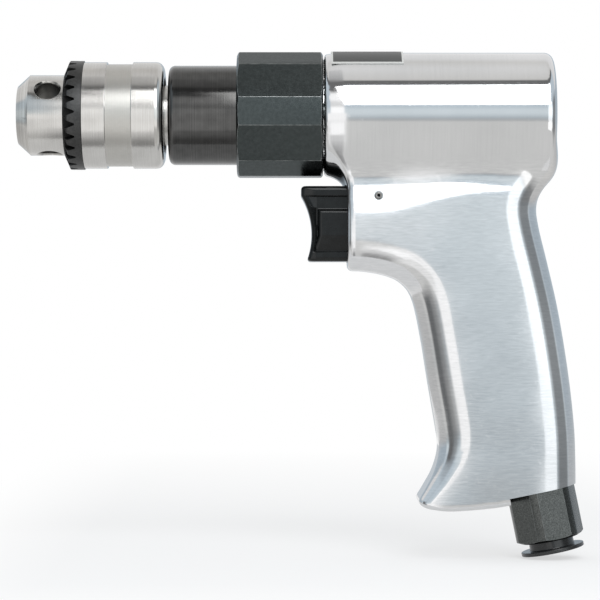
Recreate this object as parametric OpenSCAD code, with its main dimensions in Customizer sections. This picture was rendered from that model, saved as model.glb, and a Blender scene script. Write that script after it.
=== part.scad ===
// Pistol-grip air drill with a keyed three-jaw chuck, built up from its separate pieces.
// Millimetres. +X points along the bit, +Z is up, and the origin is the centre of the chuck's nose face.

/* [Chuck] */
// Diameter of the chuck's nose
chuck_nose_d = 26.7; // [25.5:0.1:28]
// Diameter of the flat face at the tip of the nose
chuck_face_d = 19.4; // [17:0.1:22]
// Length of the chamfer behind that face
nose_chamfer = 4; // [2:0.5:6]
// Length of the nose, from its face to the groove of the split nut
nose_len = 22; // [20:0.5:24]
// Step from the split nut's groove up to the chuck body behind it
tail_step = 1.6; // [1.2:0.1:1.9]
// Length of the chuck body
chuck_len = 47.2; // [45:0.2:50]
// Diameter of the bore that takes the bit
bit_bore_d = 10; // [9.5:0.1:10.4]
// Depth of that bore
bit_bore_depth = 27; // [25:0.5:28]
// Diameter of the pilot holes for the chuck key
key_hole_d = 7.3; // [6:0.1:8]
// Distance of the key holes behind the nose face
key_hole_setback = 10.5; // [9.5:0.5:11]
// Depth of the key holes
key_hole_depth = 5.6; // [4:0.2:6]
// Width of the countersink around a key hole
key_countersink = 0.6; // [0.2:0.1:1]
// Angle of the first key hole, from +Y towards +Z
key_hole_clock = 37; // [0:1:119]
// Gap between the floor of the split nut's groove and the nut
groove_gap = 0.55; // [0.35:0.05:0.8]
// Length of the split nut
split_nut_len = 5.6; // [4:0.2:6]
// Thickness of the split nut at its rear
nut_wall = 2.85; // [2.4:0.05:3]
// Diameter of the screw that holds the chuck on the spindle
chuck_screw_d = 4.8; // [4:0.1:5.4]
// Diameter of that screw's head
chuck_screw_head_d = 8; // [7:0.1:9]
// Height of that screw's head
chuck_screw_head_h = 3; // [2:0.5:4]
// Length of that screw's shank
chuck_screw_len = 12; // [9:0.5:13]
// Thickness of the wall between that screw's head and the spindle's thread
chuck_web = 4.2; // [3.5:0.1:6]

/* [Jaws] */
// Diameter of a jaw
jaw_d = 5.8; // [5.4:0.1:6]
// Angle between a jaw and the bit
jaw_angle = 15; // [14:0.5:16]
// Distance of a jaw's centre line from the bit's, at the nose face
jaw_axis_r = 2; // [1.8:0.1:2.2]
// Length of a jaw along the bit
jaw_len = 25; // [23:0.5:26]
// Largest bit that the open jaws let in
jaw_open_d = 10.2; // [9.8:0.1:10.6]
// Smallest bit that the closed jaws hold
jaw_closed_d = 2; // [1.6:0.1:4]
// How far the closed jaws stand out of the nose
jaw_stand_out = 0.8; // [0:0.1:2]
// Width of a jaw's gripping land
jaw_land = 0.9; // [0.6:0.1:1]

/* [Sleeve] */
// Wall of the sleeve at the plain band between its two raised bands
sleeve_wall = 1.5; // [1.2:0.1:2]
// Height of the raised bands
band_height = 0.7; // [0.4:0.1:1.2]
// Length of the front band
sleeve_front_len = 7.7; // [6:0.1:9]
// Length of the plain band
sleeve_waist_len = 8.6; // [7:0.1:10]
// Length of the rear band
sleeve_rear_len = 7.7; // [6:0.1:9]
// Length of the sleeve's rounded rear end
sleeve_round_len = 2.7; // [2:0.1:3.5]
// Drop of that rounded end, from the band to the rear face
sleeve_round_drop = 3.2; // [2:0.1:4]
// Thickness of the lip that closes the sleeve at the rear
sleeve_lip = 4.2; // [3:0.1:5]
// How far the toothed ring for the chuck key stands out past the bands
key_ring_proud = 0.4; // [0.2:0.1:1.2]
// Length of that ring
key_ring_len = 6.4; // [6:0.1:8]
// Length of its bevelled front
key_ring_bevel = 1.8; // [1:0.1:3]
// Number of its teeth
key_ring_teeth = 27; // [24:1:30]
// Depth of its teeth, in from the rim
key_tooth_depth = 2.6; // [1.5:0.1:3]
// Length of its teeth, back from the front
key_tooth_len = 4.3; // [3:0.1:5]

/* [Spindle and gear case] */
// Diameter of the spindle's thread for the chuck
spindle_thread_d = 9.4; // [9:0.1:10]
// Diameter of the spindle's neck
neck_d = 20; // [18:0.5:21]
// Gap between the sleeve and the gear case
case_gap = 1.5; // [1:0.1:3]
// Step from the gear case's nose up to its flange
case_step = 1.8; // [1.4:0.1:2.2]
// Length of the gear case's nose
case_nose_len = 27; // [26:0.2:30]
// Radius of the nose's front edge
case_edge = 2; // [1:0.1:3]
// Thickness of the lip at its front
case_lip = 2.8; // [2:0.1:4]
// Wall of the gear case around the ring gear
case_wall = 1.3; // [1.1:0.1:1.5]
// Length of the gear case's flange
case_flange_len = 12.8; // [10:0.2:14]
// Thickness of the shoulder between the flange's front and the ring gear
case_shoulder = 2; // [1.5:0.1:3]
// Bore of the spindle bearing
spindle_bearing_d = 12; // [11:0.5:13]
// Wall of the gear case's nose around the spindle bearing
case_nose_wall = 2.5; // [2.2:0.1:3]
// Width of the spindle bearing
spindle_bearing_w = 8; // [7:0.5:9]
// Thickness of the spindle's felt seal
seal_len = 2.5; // [2:0.1:3]
// Thickness of the bearing's retaining ring
snap_t = 1.2; // [1:0.1:1.6]
// Depth of the groove for the retaining ring
snap_depth = 0.9; // [0.5:0.1:1]
// Gap between the retaining ring and the planet carrier
carrier_setback = 2; // [1:0.1:3]
// Gap around the planet carrier
carrier_gap = 0.4; // [0.3:0.05:0.8]
// Thickness of the plate behind the planets
carrier_plate_t = 2.5; // [2:0.1:3]
// Diameter of the planets' pins
planet_pin_d = 5; // [4:0.1:5.4]
// Wall of the planets' bushes
planet_bush_wall = 1; // [0.8:0.1:1.2]

/* [Gears] */
// Module of the gears
gear_module = 0.5; // [0.48:0.01:0.51]
// Teeth on the sun gear
sun_teeth = 12; // [12:12:12]
// Teeth on each planet gear
planet_teeth = 24; // [24:24:24]
// Width of the planet gears
planet_w = 12; // [9:0.5:13]
// Wall of the ring gear behind its teeth
ring_wall = 1.45; // [1.3:0.05:1.7]
// Pressure angle of the teeth
pressure_angle = 25; // [22:1:27]
// Play between the flanks of two gears
gear_play = 0.08; // [0.05:0.01:0.12]

/* [Clamp nut] */
// How far the clamp nut's cut corners stand out past the barrel
clamp_proud = 0.2; // [0:0.05:0.8]
// How far its flats lie inside those corners
clamp_step = 0.5; // [0.3:0.05:0.8]
// Length of the lip that pulls on the gear case
clamp_lip = 4.4; // [3:0.1:6]
// Gap between the nut and the housing
clamp_gap = 0.5; // [0.3:0.1:1.5]
// Chamfer on the nut's ends
clamp_chamfer = 1.2; // [0.6:0.1:1.6]

/* [Housing] */
// Wall of the barrel around the motor
barrel_wall = 3.8; // [3.5:0.1:4.5]
// Length of the threaded spigot under the clamp nut
spigot_len = 11.6; // [10:0.2:13]
// Thickness of the barrel's rear wall
back_wall = 7.9; // [6:0.1:10]
// Radius of the barrel's rear edge
barrel_edge = 2.5; // [1:0.1:4]
// Distance of the trigger's face behind the barrel's front
face_setback = 7.5; // [6:0.5:9]
// Thickness of the wall under the trigger, over the fingers
nose_wall = 3.2; // [2.5:0.1:5]
// Length of the grip below that wall
grip_len = 78.9; // [75:0.1:90]
// Distance of the grip's heel behind the trigger's face
grip_reach = 76.4; // [73:0.1:82]
// Wall of the grip beside the exhaust's gallery
grip_wall = 3.6; // [2.6:0.1:5]
// Radius of the grip's rounded edges
grip_round = 10.5; // [8:0.5:11]

/* [Motor] */
// Length of the front end plate
front_plate_len = 9; // [8:0.5:10]
// Length of the cylinder
cylinder_len = 48; // [45:0.5:52]
// Length of the rear end plate
rear_plate_len = 9; // [8:0.5:10]
// Thickness of the gasket behind the rear end plate
gasket_t = 2; // [1:0.1:3]
// Wall of the cylinder where it is thinnest
cylinder_wall = 1.6; // [1.4:0.1:1.8]
// Distance of that bore above the rotor's centre line
cylinder_offset = 1.2; // [1:0.1:1.3]
// Number of vanes
vane_count = 5; // [4:1:6]
// Thickness of a vane
vane_t = 2; // [1.5:0.1:2.4]
// Height of a vane
vane_h = 6.8; // [5:0.1:7]
// Bore of the rotor's bearings
rotor_bearing_d = 8; // [7.5:0.1:8.5]
// Outer diameter of the rotor's bearings
rotor_bearing_out_d = 19; // [18:0.5:20]
// Width of the rotor's bearings
rotor_bearing_w = 6; // [5:0.5:6.5]
// Diameter of the pin that keys the cylinder to the front end plate
motor_pin_d = 2; // [1.6:0.1:2.4]
// Length of that pin
motor_pin_len = 10; // [8:0.5:12]

/* [Trigger and valve] */
// How far the trigger stands out of the housing
trigger_reach = 15.3; // [12:0.1:17]
// How far the trigger reaches into the housing
trigger_tail = 14.2; // [13.6:0.1:16]
// Distance of the trigger's top below the barrel
trigger_top = 3; // [2.6:0.1:3.4]
// Height of the trigger
trigger_h = 25; // [24:0.1:25.4]
// Width of the trigger
trigger_w = 16.6; // [15:0.1:17.4]
// Travel of the trigger
trigger_travel = 6; // [4:0.5:6.5]
// Radius of the finger hollow
finger_r = 25; // [20:0.5:40]
// Distance of the finger hollow's middle below the trigger's top
finger_drop = 16; // [12:0.1:17]
// Depth of the finger hollow behind the trigger's tip
finger_depth = 3.5; // [2.5:0.1:4.5]
// Depth of the recess in the trigger's sides
trigger_recess = 1.2; // [0.8:0.1:1.6]
// Diameter of the trigger's cross pin
trigger_pin_d = 2.4; // [2:0.1:2.6]
// Bore of that pin
trigger_pin_bore = 1; // [0.6:0.1:1.2]
// Distance of that pin behind the trigger's face
trigger_pin_setback = 10.2; // [9.6:0.1:11]
// Distance of that pin below the trigger's top
trigger_pin_drop = 3.4; // [3.2:0.1:4]
// Distance of the valve below the trigger's top
valve_drop = 13.2; // [12.6:0.1:13.6]
// Diameter of the valve's bush
valve_bush_d = 13; // [12:0.1:14]
// Length of the valve's bush
valve_bush_len = 18.5; // [17:0.5:20]
// Diameter of the valve's throat
valve_throat_d = 7.2; // [6:0.1:8]
// Diameter of the valve's stem
valve_stem_d = 4; // [3:0.1:4.4]
// Width of the valve's seat around the throat
seat_land = 1.4; // [1:0.1:1.8]
// Thickness of the valve's head
valve_head_t = 2.7; // [2:0.1:3.5]
// Length of the air chamber behind the valve
chamber_len = 13.5; // [12.5:0.5:15]
// Distance of the passage from the inlet behind the valve's seat
chamber_port = 7; // [6:0.1:8]
// Gap around the valve's head in that chamber
head_gap = 1; // [0.8:0.1:1.4]
// Diameter of the springs' wire
spring_wire_d = 0.8; // [0.6:0.05:0.9]
// Outer diameter of the springs
spring_d = 7.6; // [6.6:0.1:7.8]

/* [Air inlet] */
// Distance of the inlet ahead of the grip's heel
inlet_heel = 11.9; // [11:0.1:13]
// Height of the inlet's flat above the grip's lowest point
inlet_lift = 6.5; // [5:0.1:8]
// Width of the inlet bush's shoulder, from its stub to its flats
inlet_shoulder = 2.5; // [2:0.1:3.5]
// How far its turned corners stand out past its flats
inlet_corner_rise = 0.9; // [0.5:0.1:1.2]
// Turn of its flats from the side view
inlet_clock = 19; // [0:1:59]
// Length of the bush outside the housing
inlet_len = 17; // [15:0.5:20]
// Diameter of the bush's stub in the housing
inlet_stub_d = 16; // [15.4:0.1:17]
// Length of that stub
inlet_stub_len = 14; // [12:0.5:16]
// Diameter of the inlet's thread
inlet_thread_d = 11.5; // [11:0.1:12]
// Length of the inlet's thread
inlet_thread_len = 12; // [10:0.5:12.5]
// Diameter of the lead-in below the thread
inlet_mouth_d = 15.4; // [15:0.1:16]
// Depth of the lead-in
inlet_mouth = 7; // [6:0.5:8]
// Diameter of the air passage in the grip
passage_d = 9; // [8:0.1:10]
// Diameter of the dust plug's flange
plug_flange_d = 21; // [19:0.1:23]
// Thickness of that flange
plug_flange_t = 1.3; // [1:0.1:2]
// Length of the plug's neck outside the bush
plug_show = 2.7; // [2:0.1:4]
// Wall of the plug
plug_wall = 1.2; // [0.9:0.1:1.6]

/* [Exhaust] */
// Distance of the exhaust ahead of the inlet
exhaust_ahead = 21.8; // [20:0.1:23]
// Height of the exhaust's mouth above the grip's lowest point
exhaust_lift = 0.6; // [0.4:0.1:1]
// Distance of the exhaust bore's top ahead of the air feed
exhaust_port = 3.3; // [2:0.1:4]
// Diameter of the exhaust's bore
exhaust_d = 12; // [10:0.2:12.4]
// Rim of the exhaust's cap around the bore
cap_rim = 1.4; // [0.8:0.1:2]
// Thickness of the cap
exhaust_cap_t = 2; // [1.5:0.1:3]
// Diameter of the holes in the cap
exhaust_hole_d = 2.2; // [1.6:0.1:2.6]
// Length of the felt that quiets the exhaust
muffler_len = 36; // [25:1:45]
// Width of the two slots beside the valve
exhaust_slot_w = 3.8; // [3:0.1:4]
// Wall between those slots and the valve's bush
slot_wall = 1.1; // [0.9:0.1:1.5]

/* [Plate] */
// Length of the plate on the barrel
plate_len = 23.7; // [20:0.1:26]
// Angle that the plate wraps around the barrel
plate_wrap = 80; // [60:1:100]
// Thickness of the plate
plate_t = 0.4; // [0.3:0.05:0.6]
// Distance of the plate behind the barrel's front
plate_setback = 2.2; // [1:0.1:4]

/* [Fits] */
// Gap on each side where one piece turns in another
run_gap = 0.2; // [0.15:0.01:0.25]
// Gap on each side where one piece slides on another
slide_gap = 0.05; // [0.04:0.01:0.08]
// Gap on each side where a piece is seated for good
seat_gap = 0.02; // [0.01:0.005:0.03]

/* [Hidden] */

$fn = 64;
// Overshoot of a cut past the surface that it opens
past = 1;
// Reach of a cut that runs right through the part
far = 60;
// Steps of a turned edge's quarter circle
edge_steps = 6;
// Three jaws, key holes and planets, a third of a turn apart
trio = 3;
third = 360 / trio;

// Stations along the bit's centre line, from the nose face to the rear
x_screw_seat = -bit_bore_depth - chuck_screw_head_h;
x_groove = -nose_len;
x_split_nut = x_groove - run_gap;
x_split_nut_rear = x_split_nut - split_nut_len;
x_waist = x_groove - sleeve_front_len;
x_rear_band = x_waist - sleeve_waist_len;
x_sleeve_round = x_rear_band - sleeve_rear_len;
x_sleeve_rear = x_sleeve_round - sleeve_round_len;
x_chuck_rear = -chuck_len;
x_case = min(x_sleeve_rear, x_chuck_rear) - case_gap;
x_seal = x_case - case_lip;
x_bearing = x_seal - seal_len;
x_snap = x_bearing - spindle_bearing_w;
x_flange = x_case - case_nose_len;
x_ring_gear = x_flange - case_shoulder;
x_planet = x_ring_gear - 4 * run_gap;
x_planet_rear = x_planet - planet_w;
x_carrier = x_snap - snap_t - carrier_setback;
x_carrier_plate = x_planet_rear - run_gap;
x_flange_rear = x_flange - case_flange_len;
x_spigot = x_flange_rear - run_gap;
x_barrel = x_spigot - spigot_len;
x_cylinder = x_barrel - front_plate_len;
x_rear_plate = x_cylinder - cylinder_len;
x_gasket = x_rear_plate - rear_plate_len;
x_bore_floor = x_gasket - gasket_t;
x_back = x_bore_floor - back_wall;
x_clamp = x_flange + clamp_lip;
x_face = x_barrel - face_setback;

// Jaws: clock angles between the key holes, and their travel along their own holes
jaw_clock = key_hole_clock + third / 2;
jaw_travel = (jaw_open_d - jaw_closed_d) / 2 / sin(jaw_angle);
x_jaw_tip = jaw_stand_out - jaw_travel * cos(jaw_angle);
x_jaw_rear = x_jaw_tip - jaw_len;
jaw_hole_d = jaw_d + 2 * slide_gap;
// Half angle of the wedge at a jaw's tip, so that three closed jaws clear each other
jaw_wedge = 58;
function jaw_back_r(x) = jaw_axis_r - x * tan(jaw_angle) + jaw_d / 2 / cos(jaw_angle);

// Chuck: the split nut runs on the jaws' backs, and the groove and the sleeve fit around it
nut_groove_d = 2 * (jaw_back_r(x_split_nut) + run_gap - groove_gap);
chuck_tail_d = nut_groove_d + 2 * tail_step;
sleeve_bore_d = 2 * (jaw_back_r(x_split_nut_rear) + run_gap + nut_wall);
sleeve_waist_d = sleeve_bore_d + 2 * sleeve_wall;
sleeve_d = sleeve_waist_d + 2 * band_height;
sleeve_rear_d = sleeve_d - 2 * sleeve_round_drop;
sleeve_round_step = 18;
key_ring_d = sleeve_d + 2 * key_ring_proud;
spindle_thread_len = x_screw_seat - chuck_web - x_chuck_rear;

// Gears: pitch radii, and the circle that the planets' pins lie on
ring_teeth = sun_teeth + 2 * planet_teeth;
carrier_r = gear_module * (sun_teeth + planet_teeth) / 2;
addendum = 0.8 * gear_module;
dedendum = gear_module;
flank_steps = 3;

// Diameters from the ring gear outwards: motor bore, gear case, barrel and clamp nut
motor_bore_d = gear_module * ring_teeth + 2 * (dedendum + ring_wall + slide_gap);
case_flange_d = motor_bore_d + 2 * case_wall;
case_d = case_flange_d - 2 * case_step;
spindle_bearing_out_d = case_d - 2 * case_nose_wall;
carrier_d = spindle_bearing_out_d - 2 * carrier_gap;
barrel_d = motor_bore_d + 2 * barrel_wall;
clamp_corners = barrel_d + 2 * clamp_proud;
clamp_flats = clamp_corners - 2 * clamp_step;
cylinder_bore_d = motor_bore_d - 2 * (cylinder_wall + cylinder_offset);
rotor_d = cylinder_bore_d - 2 * (cylinder_offset + run_gap);

// Trigger, pocket and valve, below the bit's centre line
z_trigger = -barrel_d / 2 - trigger_top;
z_trigger_foot = z_trigger - trigger_h;
nose_drop = nose_wall - z_trigger_foot;
x_trigger_tip = x_face + trigger_reach;
x_trigger_tail = x_face - trigger_tail;
x_pocket = x_trigger_tail - trigger_travel - past;
x_trigger_pin = x_face - trigger_pin_setback;
z_trigger_pin = z_trigger - trigger_pin_drop;
z_valve = z_trigger - valve_drop;
x_valve_seat = x_pocket - valve_bush_len;
x_valve_head = x_valve_seat - run_gap;
x_chamber = x_valve_seat - chamber_len;
valve_head_d = valve_throat_d + 2 * seat_land;
chamber_d = valve_head_d + 2 * head_gap;
feed_setback = 2;
x_feed = x_valve_seat + valve_throat_d / 2 + feed_setback;
feed_d = 5;
pocket_gap = 0.3;
// Thickness of the trigger's lip over the finger, and the height of the groove below it
trigger_lip = 3.2;
trigger_groove = 4.6;
// Depth of the seat for the trigger's spring, and of the stem's hole beyond it
spring_seat = 8.5;
stem_seat = 3;
spring_turns = 6;
spring_seat_d = spring_d + 4 * run_gap;

// Grip outline: [distance from the trigger's face, height, share of the edge radius], stretched to
// the nose drop, the grip length and the reach asked for
grip_keys = [
    [18, -5, 0.4], [25, -12, 0.4], [27, -26, 0.6], [24, -42, 0.8], [14, -50.6, 1], [2, -51.8, 1],
    [-5, -52, 1], [-13, -53.5, 1], [-18.2, -56.2, 1], [-21.7, -61.5, 1], [-24.4, -73.5, 1],
    [-27, -89.5, 1], [-29.7, -105.5, 1], [-30.2, -111.5, 0.85], [-28.4, -118, 0.6],
    [-24.9, -123.5, 0.35], [-22.6, -127, 0.15], [-24.6, -129.8, 0.15], [-33, -130.9, 0.3],
    [-46.7, -130, 0.38], [-56, -128.3, 0.38], [-67, -127.6, 0.35], [-74.2, -125.5, 0.3],
    [-76.4, -119, 0.6], [-75.4, -102.8, 1], [-73.2, -85, 1], [-69.9, -65, 1],
    [-66.4, -49.5, 1], [-63.4, -37, 1], [-62.8, -30, 1], [-65, -22.8, 0.8],
    [-66.3, -14, 0.5], [-63, -8, 0.4], [-55, -5, 0.4], [-20, -3, 0.4]
];
// Key point where the underside over the fingers begins
underside = 6;
drawn_drop = -grip_keys[underside][1];
drawn_len = -min([for (k = grip_keys) k[1]]) - drawn_drop;
drawn_reach = -min([for (k = grip_keys) k[0]]);
grip_steps = 3;
round_steps = 4;
function grip_x(x) = x_face + x * grip_reach / drawn_reach;
function grip_z(z) = z > -drawn_drop
    ? z * nose_drop / drawn_drop
    : -nose_drop + (z + drawn_drop) * grip_len / drawn_len;

// Air inlet: the middle of its flat on the grip, its lean towards the valve, and that flat's front edge
z_grip_foot = -nose_drop - grip_len;
inlet_at = [x_face - grip_reach + inlet_heel, 0, z_grip_foot + inlet_lift];
inlet_lean = atan2(x_valve_seat - chamber_port - inlet_at.x, z_valve - inlet_at.z);
inlet_rise = (z_valve - inlet_at.z) / cos(inlet_lean);
inlet_flats = inlet_stub_d + 2 * inlet_shoulder;
inlet_corners = inlet_flats + 2 * inlet_corner_rise;
inlet_flat_front = inlet_corners / 2 + run_gap;
inlet_ring_d = 1.5;
screen_wall = 0.6;
screen_len = 10;
screen_step = 0.5;
screen_seat_d = inlet_thread_d - 2 * screen_step;
plug_tail = 5.6;
plug_taper = 0.4;
plug_neck_d = inlet_mouth_d - 2 * run_gap;

// Exhaust: where its bore leaves the grip, and the gallery that feeds it
exhaust_at = [inlet_at.x + exhaust_ahead, 0, z_grip_foot + exhaust_lift];
exhaust_cap_d = exhaust_d + 2 * cap_rim;
cap_inset = 0.8;
gallery_drop = 15;
gallery_h = 6;
gallery_len = 10;
slot_side = valve_bush_d / 2 + slot_wall;
gallery_w = 2 * (slot_side + exhaust_slot_w);
grip_w = gallery_w + 2 * grip_wall;
z_gallery = z_valve - gallery_drop - gallery_h / 2;
exhaust_lean = atan2(x_feed + exhaust_port - exhaust_at.x, z_gallery - exhaust_at.z);
exhaust_rise = (z_gallery - exhaust_at.z) / cos(exhaust_lean);
// Height inside the cylinder's bore at which the exhaust slots end
z_slot_top = -rotor_d / 4;
cap_holes = 6;

// Shapes turned about the bit's centre line, from [radius, x] points
module turned(profile) rotate([0, 90, 0]) rotate_extrude($fn = 96) polygon(profile);

// Round bar along the bit's centre line between two stations
module rod(d, x_rear, x_front) translate([x_rear, 0, 0]) rotate([0, 90, 0])
    cylinder(d = d, h = x_front - x_rear);

// Tube along the bit's centre line between two stations
module tube(d_out, d_in, x_rear, x_front) difference() {
    rod(d_out, x_rear, x_front);
    rod(d_in, x_rear - past, x_front + past);
}

// Section drawn in [y, z], extruded between two stations
module along(x_rear, x_front) translate([x_rear, 0, 0]) rotate([90, 0, 90])
    linear_extrude(x_front - x_rear) children();

// Round bar across the tool
module crossbar(d, w, x, z) translate([x, 0, z]) rotate([90, 0, 0]) cylinder(d = d, h = w, center = true);

// Box between two corners
module box(low, high) translate(low) cube(high - low);

// Repeats at the three clock positions of the jaws, key holes or planets
module at_clock(angle) rotate([angle, 0, 0]) children();
module at_trio(angle) for (i = [0:trio - 1]) at_clock(angle + i * third) children();

// Frames of the inlet, pointing out of the grip, and of the exhaust, pointing into it
module at_inlet() translate(inlet_at) rotate([0, 180 + inlet_lean, 0]) children();
module at_exhaust() translate(exhaust_at) rotate([0, exhaust_lean, 0]) children();

// Points of a rounded edge, as a quarter circle between two angles
function arc(centre, r, from, to, steps) =
    [for (i = [0:steps]) let (a = from + (to - from) * i / steps) centre + r * [cos(a), sin(a)]];

// Involute gear outline: angles are in degrees, and the tooth at angle zero is centred there
function involute(base_r, r) = r <= base_r ? 0 : let (a = acos(base_r / r)) tan(a) * 180 / PI - a;
function gear_points(teeth, out_by, in_by, play) =
    let (
        pitch_r = gear_module * teeth / 2,
        base_r = pitch_r * cos(pressure_angle),
        half = (90 - 90 * play / (PI * gear_module / 2)) / teeth + involute(base_r, pitch_r),
        radii = [for (i = [0:flank_steps]) pitch_r - in_by + (in_by + out_by) * i / flank_steps],
        side = [for (r = radii) [r, half - involute(base_r, r)]]
    )
    [for (t = [0:teeth - 1]) let (mid = t * 360 / teeth)
        each concat(
            [for (p = side) p[0] * [cos(mid - p[1]), sin(mid - p[1])]],
            [for (i = [flank_steps:-1:0]) let (p = side[i]) p[0] * [cos(mid + p[1]), sin(mid + p[1])]]
        )];

// Helical wire from one station to another, centred at [0, z]
module spring(x_rear, x_front, z) {
    sides = 6;
    rings = spring_turns * 10;
    mean_r = (spring_d - spring_wire_d) / 2;
    wire_r = spring_wire_d / 2;
    run = x_front - x_rear - spring_wire_d;
    points = [for (i = [0:rings]) let (a = 360 * spring_turns * i / rings)
        for (s = [0:sides - 1]) let (r = mean_r + wire_r * cos(360 * s / sides))
            [x_rear + wire_r + run * i / rings + wire_r * sin(360 * s / sides), r * cos(a), z + r * sin(a)]];
    skin = [for (i = [0:rings - 1]) for (s = [0:sides - 1])
        let (a = i * sides + s, b = i * sides + (s + 1) % sides)
            each [[a, b, b + sides], [a, b + sides, a + sides]]];
    ends = [
        [for (s = [sides - 1:-1:0]) s],
        [for (s = [0:sides - 1]) rings * sides + s]
    ];
    polyhedron(points, concat(skin, ends));
}

// Ball bearing: shares of its section that the balls and the two rings take, and how full it is of balls
ball_share = 0.55;
race_share = 0.33;
ball_fill = 0.75;
function bearing_section(d_in, d_out) = (d_out - d_in) / 2;
module bearing_groove(d_in, d_out, x_mid) rotate([0, 90, 0]) translate([0, 0, x_mid])
    rotate_extrude($fn = 96) translate([(d_in + d_out) / 4, 0])
        circle(d = ball_share * bearing_section(d_in, d_out) + 2 * slide_gap, $fn = 48);
module bearing_outer(d_in, d_out, x_rear, w) difference() {
    tube(d_out - 2 * seat_gap, d_out - 2 * race_share * bearing_section(d_in, d_out), x_rear, x_rear + w);
    bearing_groove(d_in, d_out, x_rear + w / 2);
}
module bearing_inner(d_in, d_out, x_rear, w) difference() {
    tube(d_in + 2 * race_share * bearing_section(d_in, d_out), d_in + 2 * seat_gap, x_rear, x_rear + w);
    bearing_groove(d_in, d_out, x_rear + w / 2);
}
module bearing_balls(d_in, d_out, x_rear, w) {
    ball_d = ball_share * bearing_section(d_in, d_out);
    pitch_r = (d_in + d_out) / 4;
    count = floor(ball_fill * 2 * PI * pitch_r / ball_d);
    for (i = [0:count - 1]) rotate([i * 360 / count, 0, 0])
        translate([x_rear + w / 2, pitch_r, 0]) sphere(d = ball_d, $fn = 32);
}

// A straight bar along a jaw's centre line, at clock angle zero
module jaw_bar(d, ahead, behind) translate([0, jaw_axis_r, 0]) rotate([0, 90, -jaw_angle])
    translate([0, 0, -behind]) cylinder(d = d, h = ahead + behind);

module chuck_body() color("silver") difference() {
    groove_rear = x_split_nut_rear - run_gap;
    turned([
        [0, 0], [chuck_face_d / 2, 0], [chuck_nose_d / 2, -nose_chamfer],
        [chuck_nose_d / 2, x_groove], [nut_groove_d / 2, x_groove], [nut_groove_d / 2, groove_rear],
        [chuck_tail_d / 2, groove_rear], [chuck_tail_d / 2, x_chuck_rear], [0, x_chuck_rear]
    ]);
    rod(bit_bore_d, -bit_bore_depth, past);
    rod(chuck_screw_head_d + 2 * run_gap, x_screw_seat, past);
    rod(chuck_screw_d + 2 * run_gap, x_screw_seat - far, past);
    rod(spindle_thread_d + 2 * slide_gap, x_chuck_rear - past, x_chuck_rear + spindle_thread_len);
    at_trio(jaw_clock) jaw_bar(jaw_hole_d, nose_len, far);
    at_trio(key_hole_clock) translate([-key_hole_setback, chuck_nose_d / 2, 0]) rotate([-90, 0, 0]) {
        translate([0, 0, -key_hole_depth]) cylinder(d = key_hole_d, h = key_hole_depth + past);
        translate([0, 0, -2 * key_countersink])
            cylinder(d1 = key_hole_d, d2 = key_hole_d + 4 * key_countersink, h = 3 * key_countersink);
    }
}

module chuck_jaw(i) color("dimgray") at_clock(jaw_clock + i * third) intersection() {
    wedge_r = sleeve_bore_d / 2 - 2 * run_gap;
    jaw_bar(jaw_d, nose_len, far);
    rod(2 * wedge_r, x_jaw_rear - past, x_jaw_tip + past);
    along(x_jaw_rear, x_jaw_tip) polygon([
        [jaw_open_d / 2, -jaw_land / 2], [jaw_open_d / 2 + far, -jaw_land / 2 - far * tan(jaw_wedge)],
        [jaw_open_d / 2 + far, jaw_land / 2 + far * tan(jaw_wedge)], [jaw_open_d / 2, jaw_land / 2]
    ]);
}

module chuck_screw() color("dimgray") difference() {
    socket_d = chuck_screw_head_d / 2;
    union() {
        rod(chuck_screw_head_d, x_screw_seat, x_screw_seat + chuck_screw_head_h);
        rod(chuck_screw_d, x_screw_seat - chuck_screw_len, x_screw_seat);
    }
    translate([x_screw_seat + chuck_screw_head_h / 2, 0, 0]) rotate([0, 90, 0])
        cylinder(d = socket_d, h = chuck_screw_head_h, $fn = 6);
}

module chuck_sleeve() color("silver") turned([
    [sleeve_bore_d / 2, x_groove], [sleeve_d / 2, x_groove], [sleeve_d / 2, x_waist],
    [sleeve_waist_d / 2, x_waist], [sleeve_waist_d / 2, x_rear_band], [sleeve_d / 2, x_rear_band],
    for (a = [0:sleeve_round_step:90])
        [sleeve_rear_d / 2 + sleeve_round_drop * cos(a), x_sleeve_round - sleeve_round_len * sin(a)],
    [chuck_tail_d / 2 + run_gap, x_sleeve_rear],
    [chuck_tail_d / 2 + run_gap, x_sleeve_rear + sleeve_lip], [sleeve_bore_d / 2, x_sleeve_rear + sleeve_lip]
]);

module chuck_key_ring() color("#414141") difference() {
    bore_r = chuck_nose_d / 2 + run_gap;
    x_front = x_groove + key_ring_len;
    turned([
        [bore_r, x_groove], [bore_r, x_front], [bore_r + 2 * run_gap, x_front],
        [key_ring_d / 2, x_front - key_ring_bevel], [key_ring_d / 2, x_groove]
    ]);
    for (i = [0:key_ring_teeth - 1]) rotate([i * 360 / key_ring_teeth, 0, 0]) key_ring_gap(x_front);
}

// Gap between two teeth of the key ring, cut straight in from the rim and wider at the front
module key_ring_gap(x_front) {
    pitch = PI * key_ring_d / key_ring_teeth;
    half_mouth = pitch / 3;
    half_end = pitch / 11;
    translate([x_front, key_ring_d / 2 - key_tooth_depth, 0]) rotate([-90, 0, 0])
        linear_extrude(2 * key_tooth_depth) polygon([
            [-key_tooth_len, -half_end], [past, -half_mouth], [past, half_mouth], [-key_tooth_len, half_end]
        ]);
}

module chuck_split_nut() color("dimgray") difference() {
    turned([
        [jaw_back_r(x_split_nut) + run_gap, x_split_nut], [sleeve_bore_d / 2 - seat_gap, x_split_nut],
        [sleeve_bore_d / 2 - seat_gap, x_split_nut_rear],
        [jaw_back_r(x_split_nut_rear) + run_gap, x_split_nut_rear]
    ]);
    box([x_split_nut_rear - past, -far, -run_gap], [x_split_nut + past, far, run_gap]);
}

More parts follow.
